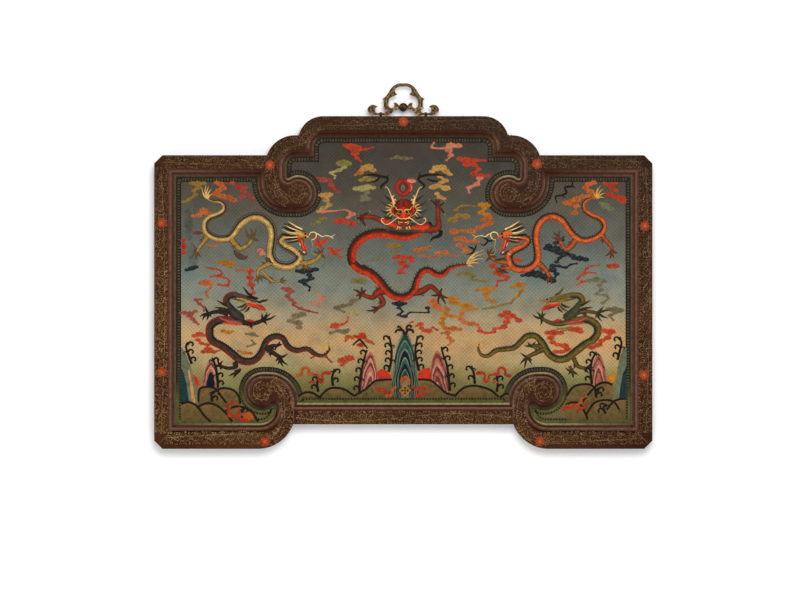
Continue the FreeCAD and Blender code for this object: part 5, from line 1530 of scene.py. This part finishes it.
def peak_outline(base, apex, half, waves):
    """A rock's outline from its base, over the apex, with sides that bow out and wave a little."""
    sides = {-1: [], 1: []}
    for rise, width in PEAK_SHARES:
        middle = base[0] + (apex[0] - base[0]) * rise
        y = base[1] + (apex[1] - base[1]) * rise
        wave = 1 + waves * math.sin(11 * rise + half)
        for side, points in sides.items():
            points.append((middle + side * half * width * wave, y))
    points = sides[-1] + [apex] + sides[1][::-1]
    return [spot(x, y) for x, y in smooth(points, 1.2)]


# Rocks: middle of the base, apex across, and bands from the outside in (half width, apex height, colour)
PEAKS = [
    ((405, 397.9), 405, [
        (13.8, 330.5, "stone"), (12.8, 333.5, "teal"), (11.9, 340, "mist"), (11.3, 342, "sea"), (10.3, 348.5, "mist"),
        (9.7, 350.5, "navy"), (8.5, 357, "mist"), (7.9, 359, "sea"), (7.1, 363.5, "navy"), (6.2, 369, "mist"),
        (5.5, 371, "teal"), (4.4, 377, "stone"),
    ]),
    ((368.2, 395), 370.5, [
        (9.6, 351.5, "rose"), (8.6, 354.5, "wine"), (7.8, 358, "blush"), (6.8, 362, "wine"), (6.0, 366, "rose"),
        (4.9, 371, "blush"), (3.9, 376, "wine"), (2.6, 382, "rose"),
    ]),
    ((440.3, 394), 437, [
        (10.4, 350.5, "rose"), (9.4, 353.5, "wine"), (8.5, 358, "rose"), (7.5, 362, "blush"), (6.7, 366, "wine"),
        (5.5, 371, "rose"), (4.3, 376, "wine"), (2.8, 382, "blush"),
    ]),
    ((209.8, 389), 210.6, [
        (8.2, 359.5, "rose"), (7.2, 362.5, "wine"), (6.4, 365.5, "blush"), (5.4, 369, "rose"), (4.4, 372, "navy"),
    ]),
    ((599.3, 387), 599, [
        (8.2, 353.5, "rose"), (7.2, 357, "wine"), (6.4, 360, "rose"), (5.4, 364, "blush"), (4.4, 368, "wine"),
        (3.2, 373, "rose"),
    ]),
]
# Tall rocks at the sides, each strip from the outside in: outline points and colour
SIDE_ROCKS = [
    ([(179.6, 403), (179.6, 350), (181.4, 347), (186, 356), (190, 366), (194, 380), (198, 403)], "stone"),
    ([(179.6, 403), (179.6, 366), (183, 372), (186, 384), (188.6, 403)], "teal"),
    ([(191, 403), (189.6, 384), (187.4, 370), (189, 370), (192, 384), (195, 403)], "tan"),
    ([(627, 400), (627, 348), (624.6, 346), (621, 356), (618, 368), (616.4, 384), (615.6, 400)], "stone"),
    ([(627, 400), (627, 366), (623.4, 374), (620.6, 388), (619.6, 400)], "teal"),
    ([(617, 398), (618, 380), (620, 366), (618.8, 382), (618, 398)], "mist"),
    ([(192.4, 374), (196, 376.6), (199.4, 383), (197.4, 388), (194, 382)], "red"),
    ([(609, 379), (613, 371.6), (616, 373), (615.4, 380), (611, 385)], "amber"),
    ([(378, 380), (377, 372), (381, 369), (387, 371), (391, 375.6), (391.6, 380)], "red"),
    ([(417.6, 378), (419, 372), (424, 368.6), (430, 368), (431.6, 380)], "red"),
]
# Hills from back to front: the ridge line's points and the level its body reaches down to
HILLS = [
    ([(198, 402), (199, 390), (206, 387), (215, 389), (222, 398), (229, 407)], 408),
    ([(214, 392), (222, 388.4), (232, 390), (238, 396), (240, 404)], 408),
    ([(567, 396), (574, 387), (584, 384.4), (593, 386), (600, 394)], 410),
    ([(583, 402), (590, 393), (598, 385), (606, 382.6), (613, 385)], 410),
    ([(319, 398), (327, 390), (335, 388), (345, 390), (354, 396)], 397.9),
    ([(354, 396), (366, 389), (376, 381), (392, 379.6)], 397.9),
    ([(418, 379.6), (430, 380.4), (438, 386), (446, 393), (456, 396)], 397.9),
    ([(455, 396), (464, 388), (476, 386), (490, 390), (499, 397)], 397.9),
    ([(180.8, 404), (188, 402.4), (196, 406), (204, 416), (210, 422)], 422.4),
    ([(196, 408), (206, 403.6), (216, 405.6), (226, 414), (232, 422)], 422.4),
    ([(224, 412), (232, 407.6), (240, 407), (250, 411), (258, 422)], 422.4),
    ([(566, 405), (573, 402.6), (580, 404.4), (586, 414), (588, 420)], 422.4),
    ([(586, 416), (594, 404), (604, 400.4), (614, 402), (620, 410)], 422.4),
    ([(607, 410), (614, 402), (620, 399.4), (625.6, 399)], 422.4),
    ([(500, 398), (506, 394), (512, 396)], 397.9), ([(296, 398), (304, 393), (312, 393), (320, 398)], 397.9),
]
# Foam stems (points), with the side their hooks are on and the count of hooks along them
FOAM = [
    ([(388.6, 372), (391, 362), (391.6, 350), (390, 340), (389, 336)], -1, 5),
    ([(419, 371), (416.6, 360), (415.4, 350), (416.6, 342), (417.6, 336)], 1, 5),
    ([(359.4, 394), (360, 380), (362, 368), (365, 356), (367, 350)], -1, 5),
    ([(450, 391), (448.6, 376), (446.6, 364), (443, 354), (441.6, 347)], 1, 5),
    ([(191.4, 364), (188, 355), (185.6, 347), (187.4, 342)], 1, 3),
    ([(217.4, 388), (217, 376), (214.4, 364), (211.6, 358)], 1, 4),
    ([(592.4, 384), (591, 372), (592.6, 360), (597, 352)], -1, 4),
    ([(618, 360), (620.6, 350), (622, 343), (620, 337)], -1, 3),
    ([(333, 386), (332, 378), (334.4, 369)], 1, 2), ([(475, 384), (474, 374), (471.6, 366)], -1, 2),
    ([(318, 392), (317, 384), (318.6, 377)], -1, 2), ([(497, 392), (498, 384), (497, 376)], 1, 2),
    ([(212, 402), (211, 396), (213, 391)], 1, 2), ([(240, 420), (243, 414), (241, 409)], 1, 2),
    ([(597, 398), (596, 392), (599, 388)], 1, 2), ([(606, 414), (604, 408), (607, 404)], -1, 2),
]
CORAL_KNOT = [
    [(297.4, 375.8, 1.2), (301.3, 374.9, 0.9), (302.1, 370, 0.9), (305.6, 367.9, 1.0), (308.6, 369.9, 0.9), (308.6, 374, 1.0),
     (311.7, 374.2, 1.2)],
    [(313.4, 374.9, 0.6), (317.7, 375.4, 0.7), (318.6, 379.8, 0.8), (321, 382.6, 0.9), (322.9, 380, 0.8), (322, 375.8, 0.8),
     (323.8, 373.2, 1.0), (329, 373.1, 1.3)],
    [(308.6, 382.8, 0.5), (311.7, 382, 0.8), (315, 383, 0.4)],
    [(346.3, 338.5, 1.2), (349, 336.6, 0.8), (352.4, 337.8, 1.3)], [(354.6, 336, 0.9), (358.6, 337.4, 1.2), (363.7, 336.4, 1.5)],
    [(357.6, 345, 0.8), (360.4, 345, 1.6), (362.6, 346.6, 0.6)], [(366.6, 341, 1.1), (370, 341.8, 1.0), (373.6, 344, 0.7)],
]
CORALS = CORAL_KNOT + [[(2 * MIDDLE_PX - x, y, half) for x, y, half in path] for path in CORAL_KNOT[:3]] + [
    [(226.4, 404, 0.7), (229.4, 406.6, 1.0), (228, 411, 1.0), (229.4, 416, 1.3), (234, 416.4, 1.2), (238.4, 414.6, 1.2),
     (239, 408, 0.7)],
    [(238.4, 415, 1.0), (240.6, 419.6, 1.2), (246, 420.6, 1.2)],
    [(244, 415, 1.6), (247.6, 416.6, 3.4), (250.4, 418, 1.6)], [(230, 401, 0.5), (234, 403, 0.7), (237, 402.4, 0.5)],
    [(564, 410, 1.0), (568, 406, 1.1), (571, 408.6, 1.0), (575, 405, 1.1), (578.6, 407, 0.9)],
    [(577, 405, 0.9), (581, 402.6, 1.1), (582, 398.6, 0.9), (587, 396.4, 0.6)],
    [(578, 411, 0.8), (582, 408.6, 1.1), (586.6, 406.6, 0.8), (586, 402, 0.6)],
    [(376, 389, 0.9), (382, 390.4, 1.4), (387, 392, 1.0)], [(387, 396, 1.4), (391, 395.6, 1.1), (392.6, 390, 1.0), (395.6, 387, 0.7)],
    [(413, 387, 0.8), (416, 390, 1.1), (421, 388, 1.1), (427, 389.6, 0.7)], [(417, 396, 1.2), (421, 394, 1.0), (428, 393, 0.7)],
    [(401.6, 384.4, 0.9), (402.4, 379.6, 1.2), (405.4, 377.6, 1.3), (408.4, 379.6, 1.2), (409, 384, 0.9)],
]


def rocks():
    """Banded peaks, the tall side rocks and the small fans between them."""
    relief = Relief(FIELD_Y)
    for base, apex_x, bands in PEAKS:
        for k, (half, apex_y, tint) in enumerate(bands):
            outline = peak_outline(base, (apex_x, apex_y), half, 0.10 if k else 0.0)
            colour = TINTS[tint]
            top_z = spot(0, apex_y)[1]
            span = top_z - spot(0, base[1])[1]
            relief.plate(outline, (2.0 + 0.5 * k) * LAYER,
                         lambda px, pz: shaded(colour, 1.12 - 0.3 * (top_z - pz) / span))
    for k, (points, tint) in enumerate(SIDE_ROCKS):
        relief.plate([spot(x, y) for x, y in points], (2.0 + 0.4 * k) * LAYER,
                     lambda px, pz: shaded(TINTS[tint], 0.85 + 0.25 * random.random()))
    relief.build("rocks", PAINT, "lacquer_field")


def hills():
    """Rounded hills, each with a thick dark outline along its ridge."""
    relief = Relief(FIELD_Y)
    for k, (points, foot) in enumerate(HILLS):
        ridge = smooth(points, 2.0)
        outline = ridge + [(ridge[-1][0], foot), (ridge[0][0], foot)]
        top = spot(0, min(y for x, y in ridge))[1]
        low = spot(0, foot)[1]
        relief.plate([spot(x, y) for x, y in outline], (7.0 + 0.45 * k) * LAYER,
                     lambda px, pz: mixed(TINTS["hill"], TINTS["hill_low"], (top - pz) / (top - low)))
        half = 1.1
        brush(relief, 7.6 + 0.45 * k, ["black"], [(x, y, half) for x, y in points])
    relief.build("hills", PAINT, "lacquer_field")


CREST_FOAM = [
    [(404.4, 335, 1.0), (403, 330.6, 1.3), (399.4, 329.8, 1.2), (396.4, 330.6, 1.0), (395.4, 333, 1.1)],
    [(402, 330.4, 1.0), (400.4, 327.6, 1.0), (398.4, 326.4, 0.9), (397.6, 328, 0.7)],
    [(405.8, 335, 1.0), (407.6, 330.2, 1.3), (410.6, 329.8, 1.2), (413, 330.8, 1.0), (412.8, 333, 1.1)],
    [(407.4, 330, 1.0), (406.6, 327.4, 1.0), (408.6, 325.4, 1.0), (411, 326.2, 1.0), (410.8, 328, 0.7)],
]


def hook(relief, x, y, side, size, layer):
    """One curl of foam that leaves its stem, rises and rolls over."""
    curl = [(0.0, 0.5, 0.75), (0.45, -0.10, 0.8), (1.0, -0.42, 0.7), (1.55, -0.2, 0.65), (1.72, 0.35, 0.6), (1.35, 0.72, 0.75)]
    brush(relief, layer, ["black"], [(x + side * a * size, y + b * size, 1.3 * w * size / 3.4) for a, b, w in curl], 0.5)


def foam():
    """Dark stems with hooked curls on their outer side."""
    relief = Relief(FIELD_Y)
    for path in CREST_FOAM:
        brush(relief, 16.0, ["black"], path, 0.6)
    for points, side, count in FOAM:
        brush(relief, 16.0, ["black"], [(x, y, 1.35 - 0.6 * k / len(points)) for k, (x, y) in enumerate(points)], 0.7)
        track = Track([(x, y) for x, y in points])
        for k in range(count):
            x, y = track.beside(track.length * (k + 0.7) / (count - 0.1))
            hook(relief, x, y, side, 3.4, 16.4 + 0.1 * k)
            if k % 2 == 1:
                hook(relief, x, y + 1.4, -side, 2.0, 16.5 + 0.1 * k)
    relief.build("wave_hooks", PAINT, "lacquer_field")


def corals():
    """Red coral and flames among the hills, and the small diamond at the foot of the middle rock."""
    relief = Relief(FIELD_Y)
    for k, path in enumerate(CORALS):
        colour = cloud_tint("red" if k % 3 else "orange")
        layer = 17.0 + 0.2 * (k % 4)
        light, rim = shaded(colour, 1.1), shaded(colour, 0.68)
        brush(relief, layer, [rim, colour, rim], [(x, y, 1.3 * half) for x, y, half in path])
        for x, y, half in path:
            dab(relief, layer + 0.4, [light, colour, rim], x, y, 1.6 * half, 1.4 * half)
    diamond = [(0, -5.8), (5.8, 0), (0, 5.8), (-5.8, 0)]
    lozenges = [(0, 0, 1.0, "amber")] + [(x * 0.46, y * 0.46, 0.32, "moss") for x, y in diamond]
    lozenges += [(0, 0, 0.24, "moss")]
    for k, (across, down, share, tint) in enumerate(lozenges):
        outline = [spot(405 + across + x * share, 390.8 + down + y * share) for x, y in diamond]
        relief.plate(outline, (18.4 + 0.3 * k) * LAYER, lambda px, pz: TINTS[tint])
    relief.build("corals", PAINT, "lacquer_field")


# Gilt scrollwork on the frame's flats

VINE_PERIOD = 0.040
VINE_REACH = 0.0088
CURL_PITCH = 0.0074
VINE_EDGE = 0.0016
VINE_HALF = 0.00046
VINE_HEIGHT = 0.00022
FLAT_MIDDLE = FLAT_WIDTH / 2


def spiral(centre, radius, least, start, turns):
    """Points of a spiral that winds in, from an angle in radians."""
    count = max(10, int(abs(turns) * 16))
    points = []
    for k in range(count + 1):
        share = k / count
        angle = start + 2 * math.pi * turns * share
        reach = radius + (least - radius) * share
        points.append((centre[0] + reach * math.cos(angle), centre[1] + reach * math.sin(angle)))
    return points


def kept(x):
    """A place across the frame, held back from its outer edges."""
    return max(VINE_EDGE - HALF_WIDTH, min(HALF_WIDTH - VINE_EDGE, x))


def gilt_line(relief, points, half=VINE_HALF, taper=True):
    """A gilt line that thins out towards its end."""
    last = max(1, len(points) - 1)
    relief.wire([
        (kept(x), z, half * (1.0 - 0.6 * k / last if taper else 1.0)) for k, (x, z) in enumerate(points)
    ], VINE_HEIGHT, TINTS["gilt"])


def leaf(relief, start, angle, length):
    """A short curved leaf."""
    points = []
    for k in range(5):
        share = k / 4
        turn = angle + 0.9 * share
        points.append((start[0] + length * share * math.cos(turn), start[1] + length * share * math.sin(turn)))
    widths = (0.4, 1.5, 1.7, 1.1, 0.2)
    relief.wire([(kept(x), z, VINE_HALF * w) for (x, z), w in zip(points, widths)], VINE_HEIGHT, TINTS["gilt"])


def vine(relief, path):
    """A waving stem along a path, a spiral in every bend and leaves towards the edges."""
    track = Track(smooth(path, 0.004))
    count = max(2, round(track.length / (VINE_PERIOD / 2)))
    half = track.length / count
    steps = count * 12
    stem = [
        track.beside(track.length * k / steps, VINE_REACH * math.sin(math.pi * 12 * k / steps / 12))
        for k in range(steps + 1)
    ]
    gilt_line(relief, stem, VINE_HALF * 1.15, taper=False)
    for k in range(count):
        side = 1 if k % 2 == 0 else -1
        middle = (k + 0.5) * half
        centre = track.beside(middle, -side * 0.0022)
        ahead = track.beside(middle + 0.001, -side * 0.0022)
        run = math.atan2(ahead[1] - centre[1], ahead[0] - centre[0])
        gilt_line(relief, spiral(centre, 0.0086, 0.0016, run + math.pi * (1 - side * 0.12), -side * 1.55))
        for j in range(7):
            angle = run + 2 * math.pi * (j + random.uniform(-0.2, 0.2)) / 7
            reach = random.uniform(0.0052, 0.0094)
            start = (centre[0] + reach * math.cos(angle), centre[1] + reach * math.sin(angle))
            leaf(relief, start, angle + random.uniform(-0.6, 0.6), random.uniform(0.0028, 0.0044))
        for offset in (side * 0.0126, -side * 0.0118):
            for shift in (-0.28, 0.0, 0.30):
                start = track.beside(middle + shift * half, offset)
                leaf(relief, start, run + random.choice((0.0, math.pi)) + random.uniform(-0.5, 0.5),
                     random.uniform(0.003, 0.0048))


def filling(relief, path):
    """Small curls in rows over the whole width of a flat."""
    track = Track(smooth(path, 0.004))
    count = int(track.length / CURL_PITCH)
    for k in range(count):
        for row in (-0.0108, -0.0036, 0.0036, 0.0108):
            centre = track.beside((k + random.uniform(0.1, 0.9)) * CURL_PITCH, row + random.uniform(-0.002, 0.002))
            way = random.choice((-1, 1))
            gilt_line(relief, spiral(centre, random.uniform(0.0020, 0.0034), 0.0009, random.uniform(0, 6.28), way * 0.8),
                      VINE_HALF * 0.85)


def scroll_vine(relief, centre, radius, way):
    """The coil that fills a scroll's head: a long spiral with leaves."""
    gilt_line(relief, spiral(centre, radius, 0.003, math.pi / 2 * way, way * 2.4), VINE_HALF * 1.2)
    for ring, count in ((0.35, 5), (0.62, 9), (0.88, 14)):
        for k in range(count):
            angle = 2 * math.pi * (k + random.uniform(-0.2, 0.2)) / count
            start = (centre[0] + radius * ring * math.cos(angle), centre[1] + radius * ring * math.sin(angle))
            leaf(relief, start, angle + way * random.uniform(0.9, 1.6), random.uniform(0.0032, 0.005))
        for k in range(count // 2):
            angle = 2 * math.pi * (k + random.random()) / (count // 2)
            start = (centre[0] + radius * ring * math.cos(angle), centre[1] + radius * ring * math.sin(angle))
            gilt_line(relief, spiral(start, 0.0030, 0.0008, angle, way * 1.2))


def gilt_vines():
    """Scrollwork on every flat, one piece for the upper members and one for the lower."""
    crest_end_x = NOTCH_HALF - 0.0534
    crest = [(0.0, CREST_Z - FLAT_MIDDLE), (0.06, CREST_Z - FLAT_MIDDLE), (0.12, CREST_Z - FLAT_MIDDLE),
             (crest_end_x, CREST_Z - FLAT_MIDDLE), (0.203, 0.338), (0.219, 0.318), (0.237, 0.3085), (0.258, 0.3035),
             (0.277, 0.289), (0.287, 0.272), (0.302, 0.2655), (0.36, SHOULDER_Z - FLAT_MIDDLE),
             (0.43, SHOULDER_Z - FLAT_MIDDLE), (0.50, SHOULDER_Z - FLAT_MIDDLE), (0.526, SHOULDER_Z - FLAT_MIDDLE)]
    neck = [(0.289, 0.262), (0.2895, 0.240), (0.2885, 0.218), (0.281, 0.200), (0.267, 0.186), (0.250, 0.178)]
    stile_x = HALF_WIDTH - FLAT_MIDDLE
    stile = [(stile_x, SHOULDER_Z - 0.026), (stile_x, 0.12), (stile_x, 0.0), (stile_x, -0.15), (stile_x, BASE_Z + 0.026)]
    foot_z = BASE_Z + FLAT_MIDDLE
    foot = [(0.526, foot_z), (0.46, foot_z), (0.39, foot_z), (0.325, foot_z), (0.292, -0.346), (0.268, -0.328),
            (0.2565, -0.300), (0.2565, -0.268), (0.262, -0.243), (0.276, -0.224), (0.292, -0.216)]
    rail_z = RAIL_Z + FLAT_MIDDLE
    rail = [(0.0, rail_z), (0.08, rail_z), (0.16, rail_z), (0.236, rail_z)]
    upper = Relief(FRONT_Y)
    lower = Relief(FRONT_Y)
    for side in (1, -1):
        turn = list if side > 0 else mirror
        for relief, path in ((upper, crest), (upper, neck), (lower, stile), (lower, foot), (lower, rail)):
            vine(relief, turn(path))
            filling(relief, turn(path))
        scroll_vine(upper, (side * 0.232, 0.1965), 0.0215, side)
        scroll_vine(lower, (side * 0.310, -0.2395), 0.0225, -side)
    upper.build("gilt_vines_upper", GILDING, "lacquer_frame")
    lower.build("gilt_vines_lower", GILDING, "lacquer_frame")


ROSETTES_PX = [(403.5, 121.5), (270, 165), (537, 164), (162, 223), (162, 372), (645, 226), (644, 375), (265, 441.5),
               (540, 441)]


def rosettes():
    """Red star flowers on the flats."""
    relief = Relief(FRONT_Y)
    for px, py in ROSETTES_PX:
        dab(relief, 2.6, [srgb(158, 72, 36), srgb(154, 64, 33), srgb(146, 57, 29), srgb(130, 48, 26)], px, py, 4.8,
            lobes=10, lobe_depth=0.13)
        for k in range(10):
            angle = 2 * math.pi * k / 10
            tip = (px + 5.4 * math.cos(angle), py + 5.4 * math.sin(angle), 0.1)
            root = (px + 1.6 * math.cos(angle), py + 1.6 * math.sin(angle), 0.75)
            brush(relief, 3.4, [srgb(138, 50, 26), srgb(164, 74, 38), srgb(138, 50, 26)], [root, tip])
        dab(relief, 4.6, [srgb(176, 98, 48), srgb(150, 64, 32)], px, py, 1.6)
    relief.build("rosettes", PAINT, "lacquer_frame")


JOINTS_PX = [
    [(159, 443.6), (165, 437.4), (171.2, 431.2)], [(648.2, 443.6), (642.2, 437.4), (636, 431.2)],
    [(293, 408), (293.6, 415), (293.4, 422.6)], [(513.6, 408), (513, 415), (513.2, 422.6)],
]


def joints():
    """The pale hair lines where the frame's members meet."""
    relief = Relief(FRONT_Y)
    for line in JOINTS_PX:
        brush(relief, 1.0, [srgb(60, 38, 24), srgb(112, 86, 64), srgb(60, 38, 24)], [(x, y, 0.45) for x, y in line], 1.0)
    relief.build("joint_lines", PAINT, "lacquer_frame")


# Chased work on the hanger, as (across, up, half width) in shares of its half span and its rise

HANGER_RISE = 0.0675
HANGER_AXIS_RISE = 0.006
HANGER_LINE_SHARES = [
    [(0.0, 0.948, 0.018), (0.15, 0.936, 0.020), (0.25, 0.868, 0.024), (0.30, 0.77, 0.026), (0.335, 0.69, 0.032),
     (0.42, 0.58, 0.034), (0.475, 0.47, 0.030), (0.478, 0.36, 0.026), (0.478, 0.26, 0.026), (0.43, 0.17, 0.022),
     (0.37, 0.10, 0.016), (0.28, 0.16, 0.012)],
    [(0.40, 0.05, 0.014), (0.50, 0.0, 0.016), (0.63, 0.0, 0.018), (0.80, 0.025, 0.020), (0.89, 0.08, 0.024),
     (0.925, 0.155, 0.028), (0.89, 0.225, 0.022), (0.82, 0.245, 0.014), (0.775, 0.235, 0.006)],
    [(0.27, 0.68, 0.006), (0.22, 0.655, 0.012), (0.30, 0.63, 0.014), (0.38, 0.56, 0.006)],
    [(0.56, 0.50, 0.006), (0.52, 0.45, 0.012), (0.515, 0.36, 0.012), (0.53, 0.25, 0.006)],
    [(0.14, 0.245, 0.008), (0.20, 0.29, 0.014), (0.255, 0.32, 0.006)],
    [(0.86, 0.27, 0.006), (0.945, 0.22, 0.012), (0.965, 0.14, 0.012), (0.91, 0.05, 0.006)],
]


def hanger_chasing():
    """Raised ribs along the bronze loop and its scrolled feet, with a painted highlight on top and painted shade
    beside.
    """
    low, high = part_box("hanger_loop")
    relief = Relief(low.y)
    axis_z = CREST_Z + HANGER_AXIS_RISE
    # Across each rib: painted shade at the sides, painted highlight on the crest
    tints = [srgb(6, 4, 2), srgb(34, 22, 11), srgb(130, 101, 58), srgb(38, 25, 13), srgb(6, 4, 2)]
    for side in (1, -1):
        for k, line in enumerate(HANGER_LINE_SHARES):
            path = [(side * across * high.x, axis_z + up * HANGER_RISE, half * high.x) for across, up, half in line]
            relief.stroke(smooth(path, 0.0012), 0.0001 + 0.00004 * k, tints, crown=0.0009)
    relief.build("hanger_chasing", CHASED_BRONZE, "gilt_bronze", "hanger")


# Stage, light and camera

WALL_Y = 0.0012
FLOOR_Z = -0.74
STAGE_HALF = 9.0


def plain_sheet(name, corners, finish):
    mesh = bpy.data.meshes.new(name)
    mesh.from_pydata(corners, [], [(0, 1, 2, 3)])
    sheet = bpy.data.objects.new(name, mesh)
    bpy.context.scene.collection.objects.link(sheet)
    mesh.materials.append(finish)
    return sheet


def seen_ray(tree):
    """One for camera, mirror and glass rays, nought for the rest."""
    paths = node(tree, "ShaderNodeLightPath").outputs
    most = paths["Is Camera Ray"]
    for other in ("Is Glossy Ray", "Is Transmission Ray"):
        largest = node(tree, "ShaderNodeMath", {"operation": "MAXIMUM"})
        feed(tree, largest.inputs[0], most)
        feed(tree, largest.inputs[1], paths[other])
        most = largest.outputs[0]
    return most


def stage_finish(name, glow, one_sided):
    """White matt paint with a little glow of its own. A one-sided sheet is only seen from its front."""
    made = bpy.data.materials.new(name)
    made.use_nodes = True
    tree = made.node_tree
    tree.nodes.clear()
    paint = node(tree, "ShaderNodeBsdfDiffuse", Color=(0.86, 0.86, 0.86, 1)).outputs[0]
    light = node(tree, "ShaderNodeEmission", Color=(1, 1, 1, 1), Strength=glow).outputs[0]
    both = node(tree, "ShaderNodeAddShader")
    feed(tree, both.inputs[0], paint)
    feed(tree, both.inputs[1], light)
    shown = both.outputs[0]
    if one_sided:
        clear = node(tree, "ShaderNodeBsdfTransparent").outputs[0]
        back = node(tree, "ShaderNodeNewGeometry").outputs["Backfacing"]
        front = node(tree, "ShaderNodeMath", {"operation": "SUBTRACT"})
        feed(tree, front.inputs[0], 1.0)
        feed(tree, front.inputs[1], back)
        seen = node(tree, "ShaderNodeMath", {"operation": "MULTIPLY"})
        feed(tree, seen.inputs[0], front.outputs[0])
        feed(tree, seen.inputs[1], seen_ray(tree))
        choice = node(tree, "ShaderNodeMixShader")
        feed(tree, choice.inputs[0], seen.outputs[0])
        feed(tree, choice.inputs[1], clear)
        feed(tree, choice.inputs[2], shown)
        shown = choice.outputs[0]
    out = node(tree, "ShaderNodeOutputMaterial")
    feed(tree, out.inputs["Surface"], shown)
    return made


def stage():
    """A white wall behind the panel and a pale floor below the view."""
    far = STAGE_HALF
    plain_sheet("wall", [(-far, WALL_Y, -far), (far, WALL_Y, -far), (far, WALL_Y, far), (-far, WALL_Y, far)],
                stage_finish("wall_paint", 0.10, True))
    plain_sheet("floor", [(-far, -far, FLOOR_Z), (far, -far, FLOOR_Z), (far, far, FLOOR_Z), (-far, far, FLOOR_Z)],
                stage_finish("floor_paint", 0.10, False))


def lamp(name, place, size, power, target=(0, 0, 0)):
    light = bpy.data.lights.new(name, "AREA")
    light.shape = "DISK"
    light.size = size
    light.energy = power
    holder = bpy.data.objects.new(name, light)
    holder.location = place
    holder.rotation_euler = (Vector(target) - Vector(place)).to_track_quat("-Z", "Y").to_euler()
    bpy.context.scene.collection.objects.link(holder)


def lights():
    """Soft key from the upper right, even fill from the room, and a lamp for the back."""
    lamp("key", (0.20, -3.1, 1.00), 1.7, 84)
    lamp("back_fill", (-1.6, 2.6, 1.6), 2.0, 70)
    world = bpy.data.worlds.new("room")
    bpy.context.scene.world = world
    world.use_nodes = True
    tree = world.node_tree
    tree.nodes.clear()
    room = node(tree, "ShaderNodeBackground", Color=(1, 1, 1, 1), Strength=0.42).outputs[0]
    white = node(tree, "ShaderNodeBackground", Color=(1, 1, 1, 1), Strength=1.0).outputs[0]
    choice = node(tree, "ShaderNodeMixShader")
    feed(tree, choice.inputs[0], seen_ray(tree))
    feed(tree, choice.inputs[1], room)
    feed(tree, choice.inputs[2], white)
    out = node(tree, "ShaderNodeOutputWorld")
    feed(tree, out.inputs["Surface"], choice.outputs[0])


CAMERA_DISTANCE = 6.0
SENSOR_WIDTH = 36.0


def camera():
    """Straight in front of the panel, framed as the photograph is."""
    view = bpy.data.cameras.new("camera")
    view.sensor_width = SENSOR_WIDTH
    view.lens = SENSOR_WIDTH * CAMERA_DISTANCE / (IMAGE_PX[0] * PIXEL)
    holder = bpy.data.objects.new("camera", view)
    x, z = spot(IMAGE_PX[0] / 2, IMAGE_PX[1] / 2)
    holder.location = (x, FRONT_Y - CAMERA_DISTANCE, z)
    holder.rotation_euler = (math.pi / 2, 0, 0)
    bpy.context.scene.collection.objects.link(holder)
    bpy.context.scene.camera = holder
    bpy.context.scene.view_settings.view_transform = "Standard"


dress_solids()
sight_moulding()
border_bands()
border_ticks()
field_hatching()
clouds()
dragons()
pearl()
rocks()
hills()
foam()
corals()
gilt_vines()
rosettes()
joints()
hanger_chasing()
stage()
lights()
camera()
